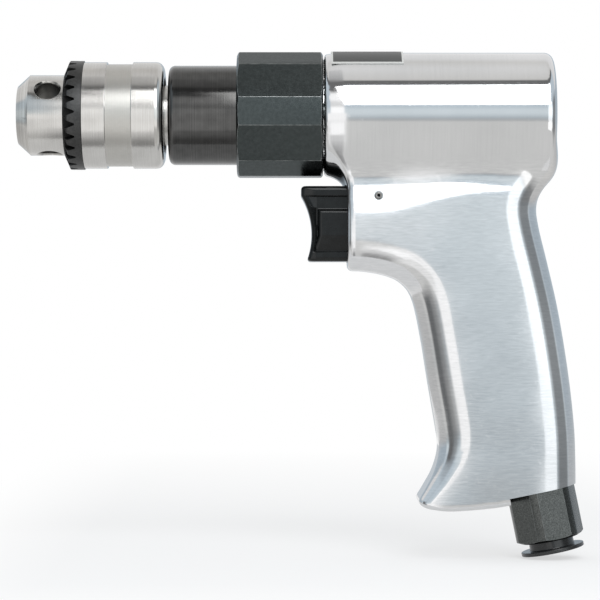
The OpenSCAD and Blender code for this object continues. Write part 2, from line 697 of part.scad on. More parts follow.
module spindle() color("gray") difference() {
    union() {
        rod(spindle_thread_d, x_chuck_rear, x_chuck_rear + spindle_thread_len - run_gap);
        rod(neck_d, x_seal + run_gap, x_chuck_rear);
        rod(spindle_bearing_d, x_carrier, x_seal + run_gap);
        rod(carrier_d, x_planet + run_gap, x_carrier);
    }
    rod(chuck_screw_d + 2 * seat_gap, x_screw_seat - chuck_screw_len - past, 0);
    rod(2 * (gear_module * sun_teeth / 2 + addendum) + 2 * run_gap, x_planet, x_planet + 2 * run_gap);
    at_trio(0) translate([0, carrier_r, 0])
        rod(planet_pin_d + 2 * seat_gap, x_planet, x_planet + planet_pin_d + past);
}

module planet_pins() color("silver") at_trio(0) translate([0, carrier_r, 0])
    rod(planet_pin_d, x_carrier_plate - carrier_plate_t, x_planet + planet_pin_d);

module carrier_plate() color("gray") difference() {
    tube(carrier_d, gear_module * (sun_teeth + 2) + 2 * run_gap * trio, x_carrier_plate - carrier_plate_t,
        x_carrier_plate);
    at_trio(0) translate([0, carrier_r, 0])
        rod(planet_pin_d + 2 * seat_gap, x_carrier_plate - far, x_carrier_plate + past);
}

module planet_gear(i) color("slategray") at_clock(i * third) translate([0, carrier_r, 0]) difference() {
    along(x_planet_rear, x_planet) rotate(180 / planet_teeth)
        polygon(gear_points(planet_teeth, addendum, dedendum, gear_play));
    rod(planet_pin_d + 2 * planet_bush_wall + 2 * slide_gap, x_planet_rear - past, x_planet + past);
}

module planet_bush(i) color("darkgoldenrod") at_clock(i * third) translate([0, carrier_r, 0])
    tube(planet_pin_d + 2 * planet_bush_wall, planet_pin_d + 2 * slide_gap, x_planet_rear, x_planet);

module ring_gear() color("slategray") difference() {
    rod(motor_bore_d - 2 * slide_gap, x_barrel, x_ring_gear);
    along(x_barrel - past, x_ring_gear + past) rotate(180 / ring_teeth)
        polygon(gear_points(ring_teeth, dedendum, addendum, -gear_play));
}

module gear_case() color("#2b2b2b") difference() {
    turned(concat(
        [[0, x_case]],
        arc([case_d / 2 - case_edge, x_case - case_edge], case_edge, 90, 0, edge_steps),
        [[case_d / 2, x_flange], [case_flange_d / 2, x_flange], [case_flange_d / 2, x_flange_rear],
            [0, x_flange_rear]]
    ));
    rod(neck_d + 4 * run_gap, x_flange_rear - past, x_case + past);
    rod(spindle_bearing_out_d, x_flange_rear - past, x_seal);
    rod(spindle_bearing_out_d + 2 * snap_depth, x_snap - snap_t, x_snap);
    rod(motor_bore_d, x_flange_rear - past, x_ring_gear);
}

module spindle_seal() color("#5a5346")
    tube(spindle_bearing_out_d - 2 * run_gap, spindle_bearing_d + 2 * run_gap, x_bearing, x_seal);
module spindle_bearing_outer() color("silver")
    bearing_outer(spindle_bearing_d, spindle_bearing_out_d, x_snap, spindle_bearing_w);
module spindle_bearing_inner() color("silver")
    bearing_inner(spindle_bearing_d, spindle_bearing_out_d, x_snap, spindle_bearing_w);
module spindle_bearing_balls() color("silver")
    bearing_balls(spindle_bearing_d, spindle_bearing_out_d, x_snap, spindle_bearing_w);

module retaining_ring() color("dimgray") difference() {
    ring_w = 1.6;
    tube(spindle_bearing_out_d + 2 * snap_depth - 2 * slide_gap, spindle_bearing_out_d - 2 * ring_w,
        x_snap - snap_t, x_snap);
    box([x_snap - far, -ring_w, 0], [x_snap + past, ring_w, far]);
}

module clamp_nut() color("#444a4a") difference() {
    x_rear = x_barrel + clamp_gap;
    end_r = clamp_flats / 2 - clamp_chamfer / 2;
    intersection() {
        translate([x_rear, 0, 0]) rotate([30, 0, 0]) rotate([0, 90, 0])
            cylinder(d = clamp_flats / cos(30), h = x_clamp - x_rear, $fn = 6);
        translate([x_rear, 0, 0]) rotate([0, 90, 0])
            cylinder(d = clamp_corners / cos(30), h = x_clamp - x_rear, $fn = 6);
        turned([
            [0, x_clamp], [end_r, x_clamp], [end_r + 2 * clamp_chamfer, x_clamp - clamp_chamfer],
            [end_r + 2 * clamp_chamfer, x_rear + clamp_chamfer], [end_r, x_rear], [0, x_rear]
        ]);
    }
    rod(case_d + 2 * slide_gap, x_rear - past, x_clamp + past);
    rod(case_flange_d + 2 * slide_gap, x_rear - past, x_flange);
}

module front_end_plate() color("gray") difference() {
    rod(motor_bore_d - 2 * slide_gap, x_cylinder, x_barrel);
    rod(rotor_bearing_d + 4 * run_gap, x_cylinder - past, x_barrel + past);
    rod(rotor_bearing_out_d, x_barrel - rotor_bearing_w, x_barrel + past);
    motor_pin(motor_pin_d + 2 * seat_gap);
}

module rear_end_plate() color("gray") difference() {
    rod(motor_bore_d - 2 * slide_gap, x_gasket, x_rear_plate);
    rod(rotor_bearing_d + 4 * run_gap, x_gasket - past, x_rear_plate + past);
    rod(rotor_bearing_out_d, x_gasket - past, x_gasket + rotor_bearing_w);
}

// Pin through the front end plate into the thick side of the cylinder's wall
module motor_pin(d) {
    wall_mid = (motor_bore_d / 2 + cylinder_bore_d / 2 - cylinder_offset) / 2;
    translate([0, 0, -wall_mid]) rod(d, x_cylinder - motor_pin_len / 2, x_cylinder + motor_pin_len / 2);
}

module cylinder_pin() color("silver") motor_pin(motor_pin_d);

module motor_cylinder() color("gray") difference() {
    rod(motor_bore_d - 2 * slide_gap, x_rear_plate, x_cylinder);
    translate([0, 0, cylinder_offset]) rod(cylinder_bore_d, x_rear_plate - past, x_cylinder + past);
    motor_pin(motor_pin_d + 2 * seat_gap);
    exhaust_slots(run_gap);
    air_feed();
}

module motor_gasket() color("#5a5346")
    tube(motor_bore_d - 2 * slide_gap, rotor_bearing_out_d + 4 * run_gap, x_bore_floor, x_gasket);

module rotor() color("gray") difference() {
    union() {
        rod(rotor_d, x_rear_plate + run_gap, x_cylinder - run_gap);
        rod(rotor_bearing_d, x_gasket, x_barrel);
        along(x_barrel, x_planet) polygon(gear_points(sun_teeth, addendum, dedendum, gear_play));
    }
    vanes(slide_gap);
}

// The vanes, or their slots with a gap around them
module vanes(gap) for (i = [0:vane_count - 1]) rotate([i * 360 / vane_count, 0, 0]) {
    over = gap > 0 ? past : 0;
    box([x_rear_plate + run_gap - over, rotor_d / 2 - vane_h - gap, -vane_t / 2 - gap],
        [x_cylinder - run_gap + over, rotor_d / 2 - slide_gap + over, vane_t / 2 + gap]);
}

module rotor_vanes() color("#8a6a3a") vanes(0);

module rotor_front_bearing_outer() color("silver")
    bearing_outer(rotor_bearing_d, rotor_bearing_out_d, x_barrel - rotor_bearing_w, rotor_bearing_w);
module rotor_front_bearing_inner() color("silver")
    bearing_inner(rotor_bearing_d, rotor_bearing_out_d, x_barrel - rotor_bearing_w, rotor_bearing_w);
module rotor_front_bearing_balls() color("silver")
    bearing_balls(rotor_bearing_d, rotor_bearing_out_d, x_barrel - rotor_bearing_w, rotor_bearing_w);
module rotor_rear_bearing_outer() color("silver")
    bearing_outer(rotor_bearing_d, rotor_bearing_out_d, x_gasket, rotor_bearing_w);
module rotor_rear_bearing_inner() color("silver")
    bearing_inner(rotor_bearing_d, rotor_bearing_out_d, x_gasket, rotor_bearing_w);
module rotor_rear_bearing_balls() color("silver")
    bearing_balls(rotor_bearing_d, rotor_bearing_out_d, x_gasket, rotor_bearing_w);

// Air feed from the valve up to the cylinder
module air_feed() translate([x_feed, 0, z_valve]) cylinder(d = feed_d, h = -z_valve - rotor_d / 2);

// Exhaust slots down both sides of the valve, from the cylinder to the gallery
module exhaust_slots(gap) for (side = [-1, 1]) mirror([0, side > 0 ? 0 : 1, 0])
    box([x_feed - gallery_len / 2 - gap, slot_side - gap, z_valve - gallery_drop - gallery_h],
        [x_feed + gallery_len / 2 + gap, slot_side + exhaust_slot_w + gap, z_slot_top]);

// Smooth closed curve through the grip's key points, by Catmull-Rom
function curve_point(p0, p1, p2, p3, t) = 0.5 * (2 * p1 + (p2 - p0) * t
    + (2 * p0 - 5 * p1 + 4 * p2 - p3) * t * t + (3 * p1 - p0 - 3 * p2 + p3) * t * t * t);
function grip_curve() =
    let (n = len(grip_keys), keys = [for (k = grip_keys) [grip_x(k[0]), grip_z(k[1]), k[2] * grip_round]])
    [for (i = [0:n - 1]) for (s = [0:grip_steps - 1])
        curve_point(keys[(i + n - 1) % n], keys[i], keys[(i + 1) % n], keys[(i + 2) % n], s / grip_steps)];

// Grip solid: the outline drawn in towards both sides along a quarter round, and closed at each side
// by triangles that run like rungs between its front and its rear
module grip_solid() {
    curve = grip_curve();
    n = len(curve);
    inward = [for (i = [0:n - 1])
        let (d = curve[(i + 1) % n] - curve[(i + n - 1) % n], l = norm([d[0], d[1]])) [d[1], -d[0]] / l];
    layers = [for (side = [-1, 1]) for (s = [0:round_steps])
        [side, 90 * (side > 0 ? s : s - round_steps) / round_steps]];
    points = [for (layer = layers) for (i = [0:n - 1]) let (p = curve[i], r = p[2])
        let (in = r * (1 - cos(layer[1])), y = layer[0] * (grip_w / 2 - r) + r * sin(layer[1]))
            [p[0] + in * inward[i][0], y, p[1] + in * inward[i][1]]];
    skin = [for (k = [0:len(layers) - 2]) for (i = [0:n - 1])
        let (a = k * n + i, b = k * n + (i + 1) % n)
            each [[a, b + n, b], [a, a + n, b + n]]];
    last = (len(layers) - 1) * n;
    rungs = [for (i = [0:floor(n / 2) - 1]) let (far_end = n - 1 - i)
        each [[i, i + 1, far_end], if (i + 1 < far_end - 1) [i + 1, far_end - 1, far_end]]];
    caps = concat(rungs, [for (t = rungs) [last + t[2], last + t[1], last + t[0]]]);
    polyhedron(points, concat(skin, caps));
}

module housing() color("#c8c8c8") difference() {
    pocket_y = trigger_w / 2 + pocket_gap;
    union() {
        turned(concat(
            [[0, x_spigot], [case_flange_d / 2, x_spigot],
                [case_flange_d / 2, x_barrel], [barrel_d / 2, x_barrel]],
            arc([barrel_d / 2 - barrel_edge, x_back + barrel_edge], barrel_edge, 0, -90, edge_steps),
            [[0, x_back]]
        ));
        difference() {
            grip_solid();
            box([x_face, -far, -3 * far], [x_face + far, far, far]);
        }
    }
    rod(motor_bore_d, x_bore_floor, x_spigot + past);
    box([x_pocket, -pocket_y, z_trigger_foot - pocket_gap],
        [x_face + past, pocket_y, z_trigger + pocket_gap]);
    crossbar(trigger_pin_d + 2 * seat_gap, 2 * far, x_trigger_pin, z_trigger_pin);
    translate([0, 0, z_valve]) {
        rod(valve_bush_d + 2 * seat_gap, x_valve_seat, x_pocket + past);
        rod(chamber_d, x_chamber, x_valve_seat + past);
    }
    air_feed();
    exhaust_slots(0);
    translate([x_feed, 0, z_gallery]) cube([gallery_len, gallery_w, gallery_h], center = true);
    at_exhaust() {
        translate([0, 0, -far])
            cylinder(d = exhaust_cap_d + 2 * seat_gap, h = far + cap_inset + exhaust_cap_t);
        cylinder(d = exhaust_d, h = exhaust_rise);
    }
    at_inlet() {
        translate([-inlet_flat_front, -far / 2, 0]) cube([far, far, far]);
        translate([0, 0, -inlet_stub_len - run_gap]) cylinder(d = inlet_stub_d + 2 * seat_gap, h = far);
        translate([0, 0, -inlet_rise]) cylinder(d = passage_d, h = inlet_rise);
    }
}

module name_plate() color("#4a4a4a") rotate([0, 90, 0])
    translate([0, 0, x_barrel - plate_setback - plate_len])
        rotate([0, 0, 180 - plate_wrap / 2]) rotate_extrude(angle = plate_wrap, $fn = 96)
            translate([barrel_d / 2 + seat_gap, 0]) square([plate_t, plate_len]);

module trigger_pin() color("silver") difference() {
    crossbar(trigger_pin_d, grip_w - run_gap, x_trigger_pin, z_trigger_pin);
    crossbar(trigger_pin_bore, grip_w + past, x_trigger_pin, z_trigger_pin);
}

module trigger() color("#232525") difference() {
    half = trigger_w / 2;
    z_groove = z_trigger - trigger_lip;
    x_strip = x_trigger_tip - finger_depth - trigger_recess / 2;
    x_slot = x_trigger_pin + trigger_travel;
    slot_d = trigger_pin_d + 2 * run_gap;
    box([x_trigger_tail, -half, z_trigger_foot], [x_trigger_tip, half, z_trigger]);
    crossbar(2 * finger_r, far, x_trigger_tip - finger_depth + finger_r, z_trigger - finger_drop);
    for (side = [-1, 1]) mirror([0, side > 0 ? 0 : 1, 0]) {
        box([x_face + past, half - trigger_recess, z_groove - trigger_groove],
            [x_strip, half + past, z_groove]);
        box([x_strip - trigger_recess, half - trigger_recess, z_trigger_foot + trigger_lip],
            [x_strip, half + past, z_groove - trigger_groove + past]);
    }
    crossbar(slot_d, far, x_trigger_pin, z_trigger_pin);
    crossbar(slot_d, far, x_slot, z_trigger_pin);
    box([x_trigger_pin, -far, z_trigger_pin - slot_d / 2], [x_slot, far, z_trigger_pin + slot_d / 2]);
    translate([0, 0, z_valve]) {
        rod(spring_seat_d, x_trigger_tail - past, x_trigger_tail + spring_seat);
        rod(valve_stem_d + 2 * seat_gap, x_trigger_tail, x_trigger_tail + spring_seat + stem_seat);
    }
}

module valve_stem() color("silver") translate([0, 0, z_valve])
    rod(valve_stem_d, x_valve_head - valve_head_t, x_trigger_tail + spring_seat + stem_seat - run_gap);

module valve_head() color("#303030") translate([0, 0, z_valve])
    tube(valve_head_d, valve_stem_d + 2 * seat_gap, x_valve_head - valve_head_t, x_valve_head);

module valve_bush() color("#b08d4a") difference() {
    guide_len = x_pocket - x_feed - feed_d / 2 - past;
    translate([0, 0, z_valve]) difference() {
        rod(valve_bush_d, x_valve_seat, x_pocket);
        rod(valve_stem_d + 2 * slide_gap, x_valve_seat - past, x_pocket + past);
        rod(valve_throat_d, x_valve_seat - past, x_pocket - guide_len);
    }
    air_feed();
}

module trigger_spring() color("silver")
    spring(x_pocket + slide_gap, x_trigger_tail + spring_seat - slide_gap, z_valve);
module valve_spring() color("silver")
    spring(x_chamber + slide_gap, x_valve_head - valve_head_t - slide_gap, z_valve);

module inlet_bush() color("#3c3e3c") at_inlet() difference() {
    thread_top = inlet_len - inlet_mouth - inlet_thread_len;
    chamfer = inlet_corners / 2 - inlet_flats / 2;
    union() {
        translate([0, 0, -inlet_stub_len]) cylinder(d = inlet_stub_d, h = inlet_stub_len + past);
        intersection() {
            rotate([0, 0, 30 + inlet_clock]) cylinder(d = inlet_flats / cos(30), h = inlet_len, $fn = 6);
            rotate_extrude($fn = 96) polygon([
                [0, 0], [inlet_corners / 2, 0], [inlet_corners / 2, inlet_len - chamfer],
                [inlet_corners / 2 - 2 * chamfer, inlet_len], [0, inlet_len]
            ]);
        }
    }
    translate([0, 0, -inlet_stub_len - past]) cylinder(d = passage_d - 2 * run_gap, h = far);
    translate([0, 0, thread_top - screen_wall]) cylinder(d = screen_seat_d, h = far);
    translate([0, 0, thread_top]) cylinder(d = inlet_thread_d, h = far);
    translate([0, 0, inlet_len - inlet_mouth]) cylinder(d = inlet_mouth_d, h = far);
    inlet_ring_seat();
}

// Groove for the ring between the bush and the grip
module inlet_ring_seat() difference() {
    cylinder(d = inlet_stub_d + 2 * inlet_ring_d + 4 * slide_gap, h = inlet_ring_d + 2 * slide_gap);
    translate([0, 0, -past]) cylinder(d = inlet_stub_d, h = inlet_ring_d + 2 * past);
}

module inlet_o_ring() color("#202020") at_inlet() translate([0, 0, inlet_ring_d / 2 + slide_gap])
    rotate_extrude($fn = 96) translate([inlet_stub_d / 2 + inlet_ring_d / 2 + slide_gap, 0])
        circle(d = inlet_ring_d, $fn = 32);

module inlet_screen() color("#a08a50") at_inlet() {
    z_rim = inlet_len - inlet_mouth - inlet_thread_len;
    z_seat = z_rim - screen_wall;
    screen_r = passage_d / 2 - 2 * run_gap;
    rotate_extrude($fn = 64) polygon([
        [0, z_seat - screen_len], [screen_r, z_seat - screen_len], [screen_r, z_seat],
        [screen_seat_d / 2 - run_gap, z_seat], [screen_seat_d / 2 - run_gap, z_rim],
        [screen_r - screen_wall, z_rim], [screen_r - screen_wall, z_seat - screen_len + screen_wall],
        [0, z_seat - screen_len + screen_wall]
    ]);
}

module dust_plug() color("#1c1c1c") at_inlet() {
    z_tip = inlet_len - plug_tail;
    z_flange = inlet_len + plug_show;
    neck_r = plug_neck_d / 2;
    rotate_extrude($fn = 96) polygon([
        [0, z_tip], [neck_r - plug_taper, z_tip], [neck_r, z_flange], [plug_flange_d / 2, z_flange],
        [plug_flange_d / 2, z_flange + plug_flange_t], [neck_r - plug_wall, z_flange + plug_flange_t],
        [neck_r - plug_wall - plug_taper, z_tip + plug_wall], [0, z_tip + plug_wall]
    ]);
}

module exhaust_muffler() color("#6b6250") at_exhaust() translate([0, 0, cap_inset + exhaust_cap_t + run_gap])
    cylinder(d = exhaust_d - 2 * run_gap, h = muffler_len);

module exhaust_cap() color("#303030") at_exhaust() difference() {
    translate([0, 0, cap_inset]) cylinder(d = exhaust_cap_d, h = exhaust_cap_t);
    for (i = [0:cap_holes - 1]) rotate([0, 0, i * 360 / cap_holes]) translate([exhaust_cap_d / 4, 0, 0])
        cylinder(d = exhaust_hole_d, h = far);
    cylinder(d = exhaust_hole_d, h = far);
}

housing();
name_plate();
gear_case();
clamp_nut();
ring_gear();
spindle_seal();
spindle_bearing_outer();
retaining_ring();
motor_cylinder();  // cylinder
cylinder_pin();
front_end_plate();
rear_end_plate();
motor_gasket();
rotor_front_bearing_outer();
rotor_rear_bearing_outer();
trigger_pin();
valve_bush();
trigger_spring();
valve_spring();
inlet_bush();
inlet_o_ring();
inlet_screen();
exhaust_muffler();
exhaust_cap();
spindle();
spindle_bearing_inner();
spindle_bearing_balls();
planet_pins();
carrier_plate();
chuck_body();
chuck_screw();
rotor();
rotor_vanes();
rotor_front_bearing_inner();
rotor_front_bearing_balls();
rotor_rear_bearing_inner();
rotor_rear_bearing_balls();
for (i = [0:trio - 1]) {
    planet_gear(i);
    planet_bush(i);
    chuck_jaw(i);
}
chuck_sleeve();
chuck_key_ring();
chuck_split_nut();
trigger();
valve_stem();
valve_head();
dust_plug();
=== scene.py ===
import math

import bmesh
import bpy
import numpy as np
import openvdb
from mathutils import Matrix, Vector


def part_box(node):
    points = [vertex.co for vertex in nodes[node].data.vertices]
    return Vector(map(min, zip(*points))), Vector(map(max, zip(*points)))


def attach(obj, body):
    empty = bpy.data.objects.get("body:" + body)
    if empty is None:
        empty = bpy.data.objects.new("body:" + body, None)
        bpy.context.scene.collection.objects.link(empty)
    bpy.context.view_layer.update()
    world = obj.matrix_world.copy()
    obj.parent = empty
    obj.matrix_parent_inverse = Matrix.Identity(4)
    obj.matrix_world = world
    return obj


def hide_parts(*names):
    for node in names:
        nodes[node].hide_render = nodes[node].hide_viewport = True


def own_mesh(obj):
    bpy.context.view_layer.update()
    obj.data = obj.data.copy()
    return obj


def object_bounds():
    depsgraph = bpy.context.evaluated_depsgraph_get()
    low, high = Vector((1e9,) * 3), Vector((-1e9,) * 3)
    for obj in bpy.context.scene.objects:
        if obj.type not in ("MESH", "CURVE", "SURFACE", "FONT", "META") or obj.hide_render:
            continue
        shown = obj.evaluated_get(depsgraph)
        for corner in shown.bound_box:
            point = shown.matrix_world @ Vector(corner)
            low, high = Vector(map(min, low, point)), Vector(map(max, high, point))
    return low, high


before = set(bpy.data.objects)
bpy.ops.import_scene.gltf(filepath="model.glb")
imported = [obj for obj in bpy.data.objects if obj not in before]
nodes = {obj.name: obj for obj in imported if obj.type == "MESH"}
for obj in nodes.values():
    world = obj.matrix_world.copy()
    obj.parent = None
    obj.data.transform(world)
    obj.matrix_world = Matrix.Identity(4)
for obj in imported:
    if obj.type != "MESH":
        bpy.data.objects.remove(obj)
cad_box = [list(corner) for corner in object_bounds()]
MM = 0.001

# Housing: barrel and grip in one aluminium casting, ground smooth and polished all over.
# The grip blends into the barrel with soft fillets. The motor goes in from the front, and the
# trigger pocket, the valve's bores, the inlet and the exhaust are machined into the grip.
barrel_r, barrel_front, barrel_rear = 20.8, -101.8, -177.7
barrel_edge, mouth_edge, mouth_draw, mouth_len = 3.0, 0.8, 0.6, 8.0
nose_face, nose_edge = -109.3, 2.2
grip_half, grip_edge, grip_crown, crown_reach = 15.0, 10.5, 0.8, 22.0
shoulder_top, shoulder_rear, shoulder_front = -16.5, -160.0, -118.0
shoulder_in, shoulder_more, shoulder_foot, shoulder_fall = 1.5, 1.7, -28.5, 7.0
grip_blend, foot_edge = 8.0, 1.6
spigot_r, spigot_front = 18.3, -90.2
inlet_at = np.array([-173.8, 0.0, -124.4])
inlet_lean = math.atan2(17.8, 87.4)
inlet_out = np.array([-math.sin(inlet_lean), 0.0, -math.cos(inlet_lean)])
inlet_rearward = np.array([-math.cos(inlet_lean), 0.0, math.sin(inlet_lean)])
inlet_flat_front = 11.6
# Waves that polishing leaves in the grip's sides: length along X, length along Z, phase
ripple_high, ripples = 0.009, ((3.4, 5.1, 0.0), (6.3, -3.7, 1.0), (11.0, 2.9, 0.0))
# Side outline of the grip, drawn on past its foot: behind the nose face, height, share of the edge radius
grip_keys = np.array([
    (18, -5, 0.4), (25, -12, 0.4), (27, -26, 0.6), (24, -42, 0.8), (14, -50.6, 1), (2, -51.8, 1),
    (-5, -52, 1), (-13, -53.5, 1), (-18.2, -56.2, 1), (-21.7, -61.5, 1), (-24.4, -73.5, 1),
    (-27, -89.5, 1), (-29.7, -105.5, 1), (-30.2, -111.5, 0.85), (-28.6, -118, 0.6),
    (-25.8, -123.5, 0.45), (-23, -128.4, 0.35), (-19, -137, 0.3), (-16, -150, 0.3),
    (-40, -158, 0.4), (-72, -152, 1), (-75.9, -138, 1), (-75.8, -126, 1), (-75.7, -115, 1),
    (-75.2, -102.8, 1), (-73.2, -85, 1), (-69.9, -65, 1),
    (-66.4, -49.5, 1), (-63.4, -37, 1), (-62.8, -30, 1), (-65, -22.8, 0.8),
    (-66.3, -14, 0.5), (-63, -8, 0.4), (-55, -5, 0.4), (-20, -3, 0.4),
])
# Foot of the grip: behind the nose face, height
foot_keys = np.array([
    (-90, -122.4), (-74.2, -125.7), (-67, -127.1), (-56, -128.6), (-46.7, -130),
    (-35, -130.9), (-28.5, -130.5), (-24.5, -129.3), (-20, -125.5), (-14, -118),
])
curve_steps = 6


def smooth_loop(keys, steps):
    """Points of a closed Catmull-Rom curve through the keys."""
    before, after, beyond = (np.roll(keys, turn, axis=0) for turn in (1, -1, -2))
    share = np.linspace(0.0, 1.0, steps, endpoint=False)[None, :, None]
    k0, k1, k2, k3 = (k[:, None, :] for k in (before, keys, after, beyond))
    points = 0.5 * (2 * k1 + (k2 - k0) * share + (2 * k0 - 5 * k1 + 4 * k2 - k3) * share ** 2
                    + (3 * k1 - k0 - 3 * k2 + k3) * share ** 3)
    return points.reshape(-1, keys.shape[1])


grip_line = smooth_loop(grip_keys, curve_steps) + (nose_face, 0.0, 0.0)
foot_line = smooth_loop(foot_keys, curve_steps)[:-2 * curve_steps] + (nose_face, 0.0)


def to_outline(x, z):
    """Signed distance to the grip's outline, below zero inside, and the edge radius there."""
    start, end = grip_line, np.roll(grip_line, -1, axis=0)
    x, z = np.broadcast_arrays(x, z)
    best = np.full(x.shape, np.inf)
    edge = np.zeros(x.shape)
    inside = np.zeros(x.shape, bool)
    for a, b in zip(start, end):
        run_x, run_z = b[0] - a[0], b[1] - a[1]
        share = np.clip(((x - a[0]) * run_x + (z - a[1]) * run_z) / (run_x ** 2 + run_z ** 2), 0, 1)
        gap = np.hypot(x - a[0] - share * run_x, z - a[1] - share * run_z)
        nearer = gap < best
        best = np.where(nearer, gap, best)
        edge = np.where(nearer, a[2] + share * (b[2] - a[2]), edge)
        if a[1] != b[1]:
            crosses = (a[1] > z) != (b[1] > z)
            inside ^= crosses & (x < a[0] + (z - a[1]) * run_x / run_z)
    return np.where(inside, -best, best), edge * grip_edge


def gentle(value, low, high):
    """Smooth step from 0 at low to 1 at high."""
    share = np.clip((value - low) / (high - low), 0, 1)
    return share * share * (3 - 2 * share)


def rounded(side, end, edge):
    """Distance to a shape between two distances, with its outer corner rounded."""
    side, end = side + edge, end + edge
    return np.minimum(np.maximum(side, end), 0) + np.hypot(np.maximum(side, 0), np.maximum(end, 0)) - edge


def blend_in(a, b, width):
    """Union of two distances with a fillet."""
    share = np.clip(0.5 + 0.5 * (b - a) / width, 0, 1)
    return b + (a - b) * share - width * share * (1 - share)


def blend_cut(a, b, width):
    """Intersection of two distances with a rounded edge."""
    return -blend_in(-a, -b, width)


def housing_distance(x, y, z):
    """Signed distance to the casting's outer skin, in millimetres."""
    outline, edge = to_outline(x, z)
    inset = 1 - np.clip(-outline / crown_reach, 0, 1)
    forward = gentle(x, shoulder_rear, shoulder_front)
    shoulder = gentle(z, shoulder_foot - shoulder_fall * forward ** 2, shoulder_top)
    half = grip_half - grip_crown * inset ** 2 - (shoulder_in + shoulder_more * forward) * shoulder
    half = half + ripple_high * sum(np.sin(x / along + z / down + phase) for along, down, phase in ripples)
    grip = rounded(outline, np.abs(y) - half, edge)
    grip = rounded(grip, np.interp(x, *foot_line.T) - z, foot_edge)
    grip = blend_cut(grip, x - nose_face, nose_edge)
    radius = np.hypot(y, z)
    drawn_in = mouth_draw * np.clip(1 + (x - barrel_front) / mouth_len, 0, 1) ** 2
    barrel = rounded(radius - barrel_r + drawn_in, barrel_rear - x, barrel_edge)
    barrel = rounded(barrel, x - barrel_front, mouth_edge)
    spigot = np.maximum(x - spigot_front, barrel_rear + 2 * barrel_edge - x)
    return np.minimum(blend_in(barrel, grip, grip_blend), np.maximum(radius - spigot_r, spigot))


def piece(name, points, faces, to_metres=MM):
    """New object at the origin with its place in its mesh, its faces turned outwards."""
    mesh = bpy.data.meshes.new(name)
    mesh.from_pydata([tuple(float(c) * to_metres for c in p) for p in points], [],
                     [tuple(int(i) for i in f) for f in faces])
    edit = bmesh.new()
    edit.from_mesh(mesh)
    bmesh.ops.recalc_face_normals(edit, faces=edit.faces)
    edit.to_mesh(mesh)
    edit.free()
    made = bpy.data.objects.new(name, mesh)
    bpy.context.scene.collection.objects.link(made)
    return made


def settle(made, sharp=35):
    """Applies a piece's modifiers, and shades it smooth up to its sharp edges."""
    graph = bpy.context.evaluated_depsgraph_get()
    mesh = bpy.data.meshes.new_from_object(made.evaluated_get(graph), depsgraph=graph)
    made.modifiers.clear()
    made.data = mesh
    mesh.name = made.name
    mesh.shade_smooth()
    mesh.set_sharp_from_angle(angle=math.radians(sharp))
    return made


skin_cell, band = 0.75, 3.0
skin_low, skin_high = np.array([-189.0, -23.0, -134.0]), np.array([-88.0, 23.0, 23.0])
axes = [np.arange(low, high, skin_cell) for low, high in zip(skin_low, skin_high)]
field = housing_distance(axes[0][:, None, None], axes[1][None, :, None], axes[2][None, None, :])
volume = openvdb.FloatGrid(band)
volume.copyFromArray(np.clip(field / skin_cell, -band, band).astype(np.float32))
skin_points, skin_triangles, skin_quads = volume.convertToPolygons(isovalue=0.0)
skin_points = skin_low + skin_points.astype(float) * skin_cell
# Short moves down the field's slope bring each point onto the true skin
probe, moves, least_slope = 0.02, 2, 0.25
for _ in range(moves):
    here = housing_distance(*skin_points.T)
    slope = np.stack([housing_distance(*(skin_points + shift).T) - housing_distance(*(skin_points - shift).T)
                      for shift in probe * np.eye(3)], axis=1) / (2 * probe)
    steep = np.maximum((slope ** 2).sum(axis=1), least_slope)
    skin_points = skin_points - here[:, None] * slope / steep[:, None]
housing = piece("housing_casting", skin_points, [*skin_triangles, *skin_quads])


def bar(start, end, radius, sides=96):
    """Points and faces of a round bar between two places."""
    start, end = np.array(start, float), np.array(end, float)
    line = (end - start) / np.linalg.norm(end - start)
    nearly_along_y = abs(line[1]) > 0.9
    across = np.cross(line, (1.0, 0.0, 0.0) if nearly_along_y else (0.0, 1.0, 0.0))
    across /= np.linalg.norm(across)
    third = np.cross(line, across)
    turn = np.linspace(0, 2 * math.pi, sides, endpoint=False)[:, None]
    ring = radius * (np.cos(turn) * across + np.sin(turn) * third)
    around = [(i, (i + 1) % sides, sides + (i + 1) % sides, sides + i) for i in range(sides)]
    ends = [tuple(range(sides - 1, -1, -1)), tuple(range(sides, 2 * sides))]
    return np.concatenate([start + ring, end + ring]), around + ends


def block(low, high, axes=np.eye(3), origin=(0.0, 0.0, 0.0)):
    """Points and faces of a box between two corners, given along the axes from the origin."""
    points = [[(low, high)[k][0], (low, high)[j][1], (low, high)[i][2]]
              for i in (0, 1) for j in (0, 1) for k in (0, 1)]
    faces = [(0, 2, 3, 1), (4, 5, 7, 6), (0, 1, 5, 4), (2, 6, 7, 3), (0, 4, 6, 2), (1, 3, 7, 5)]
    return np.array(points) @ np.array(axes) + np.array(origin), faces


def eased(corners, steps=5):
    """Closed profile (along, out) with each corner (along, out, round) made an arc."""
    line = []
    for number, (along, out, ease) in enumerate(corners):
        here = np.array((along, out), float)
        if not ease:
            line.append(here)
            continue
        ways = [np.array(corners[(number + step) % len(corners)][:2], float) - here for step in (-1, 1)]
        ways = [way / np.linalg.norm(way) for way in ways]
        half = math.acos(np.clip(ways[0] @ ways[1], -1, 1)) / 2
        first, last = (here + way * ease / math.tan(half) for way in ways)
        middle = ways[0] + ways[1]
        centre = here + middle / np.linalg.norm(middle) * ease / math.sin(half)
        for share in np.linspace(0, 1, steps + 1):
            spoke = first + (last - first) * share - centre
            line.append(centre + spoke / np.linalg.norm(spoke) * ease)
    return np.array(line)


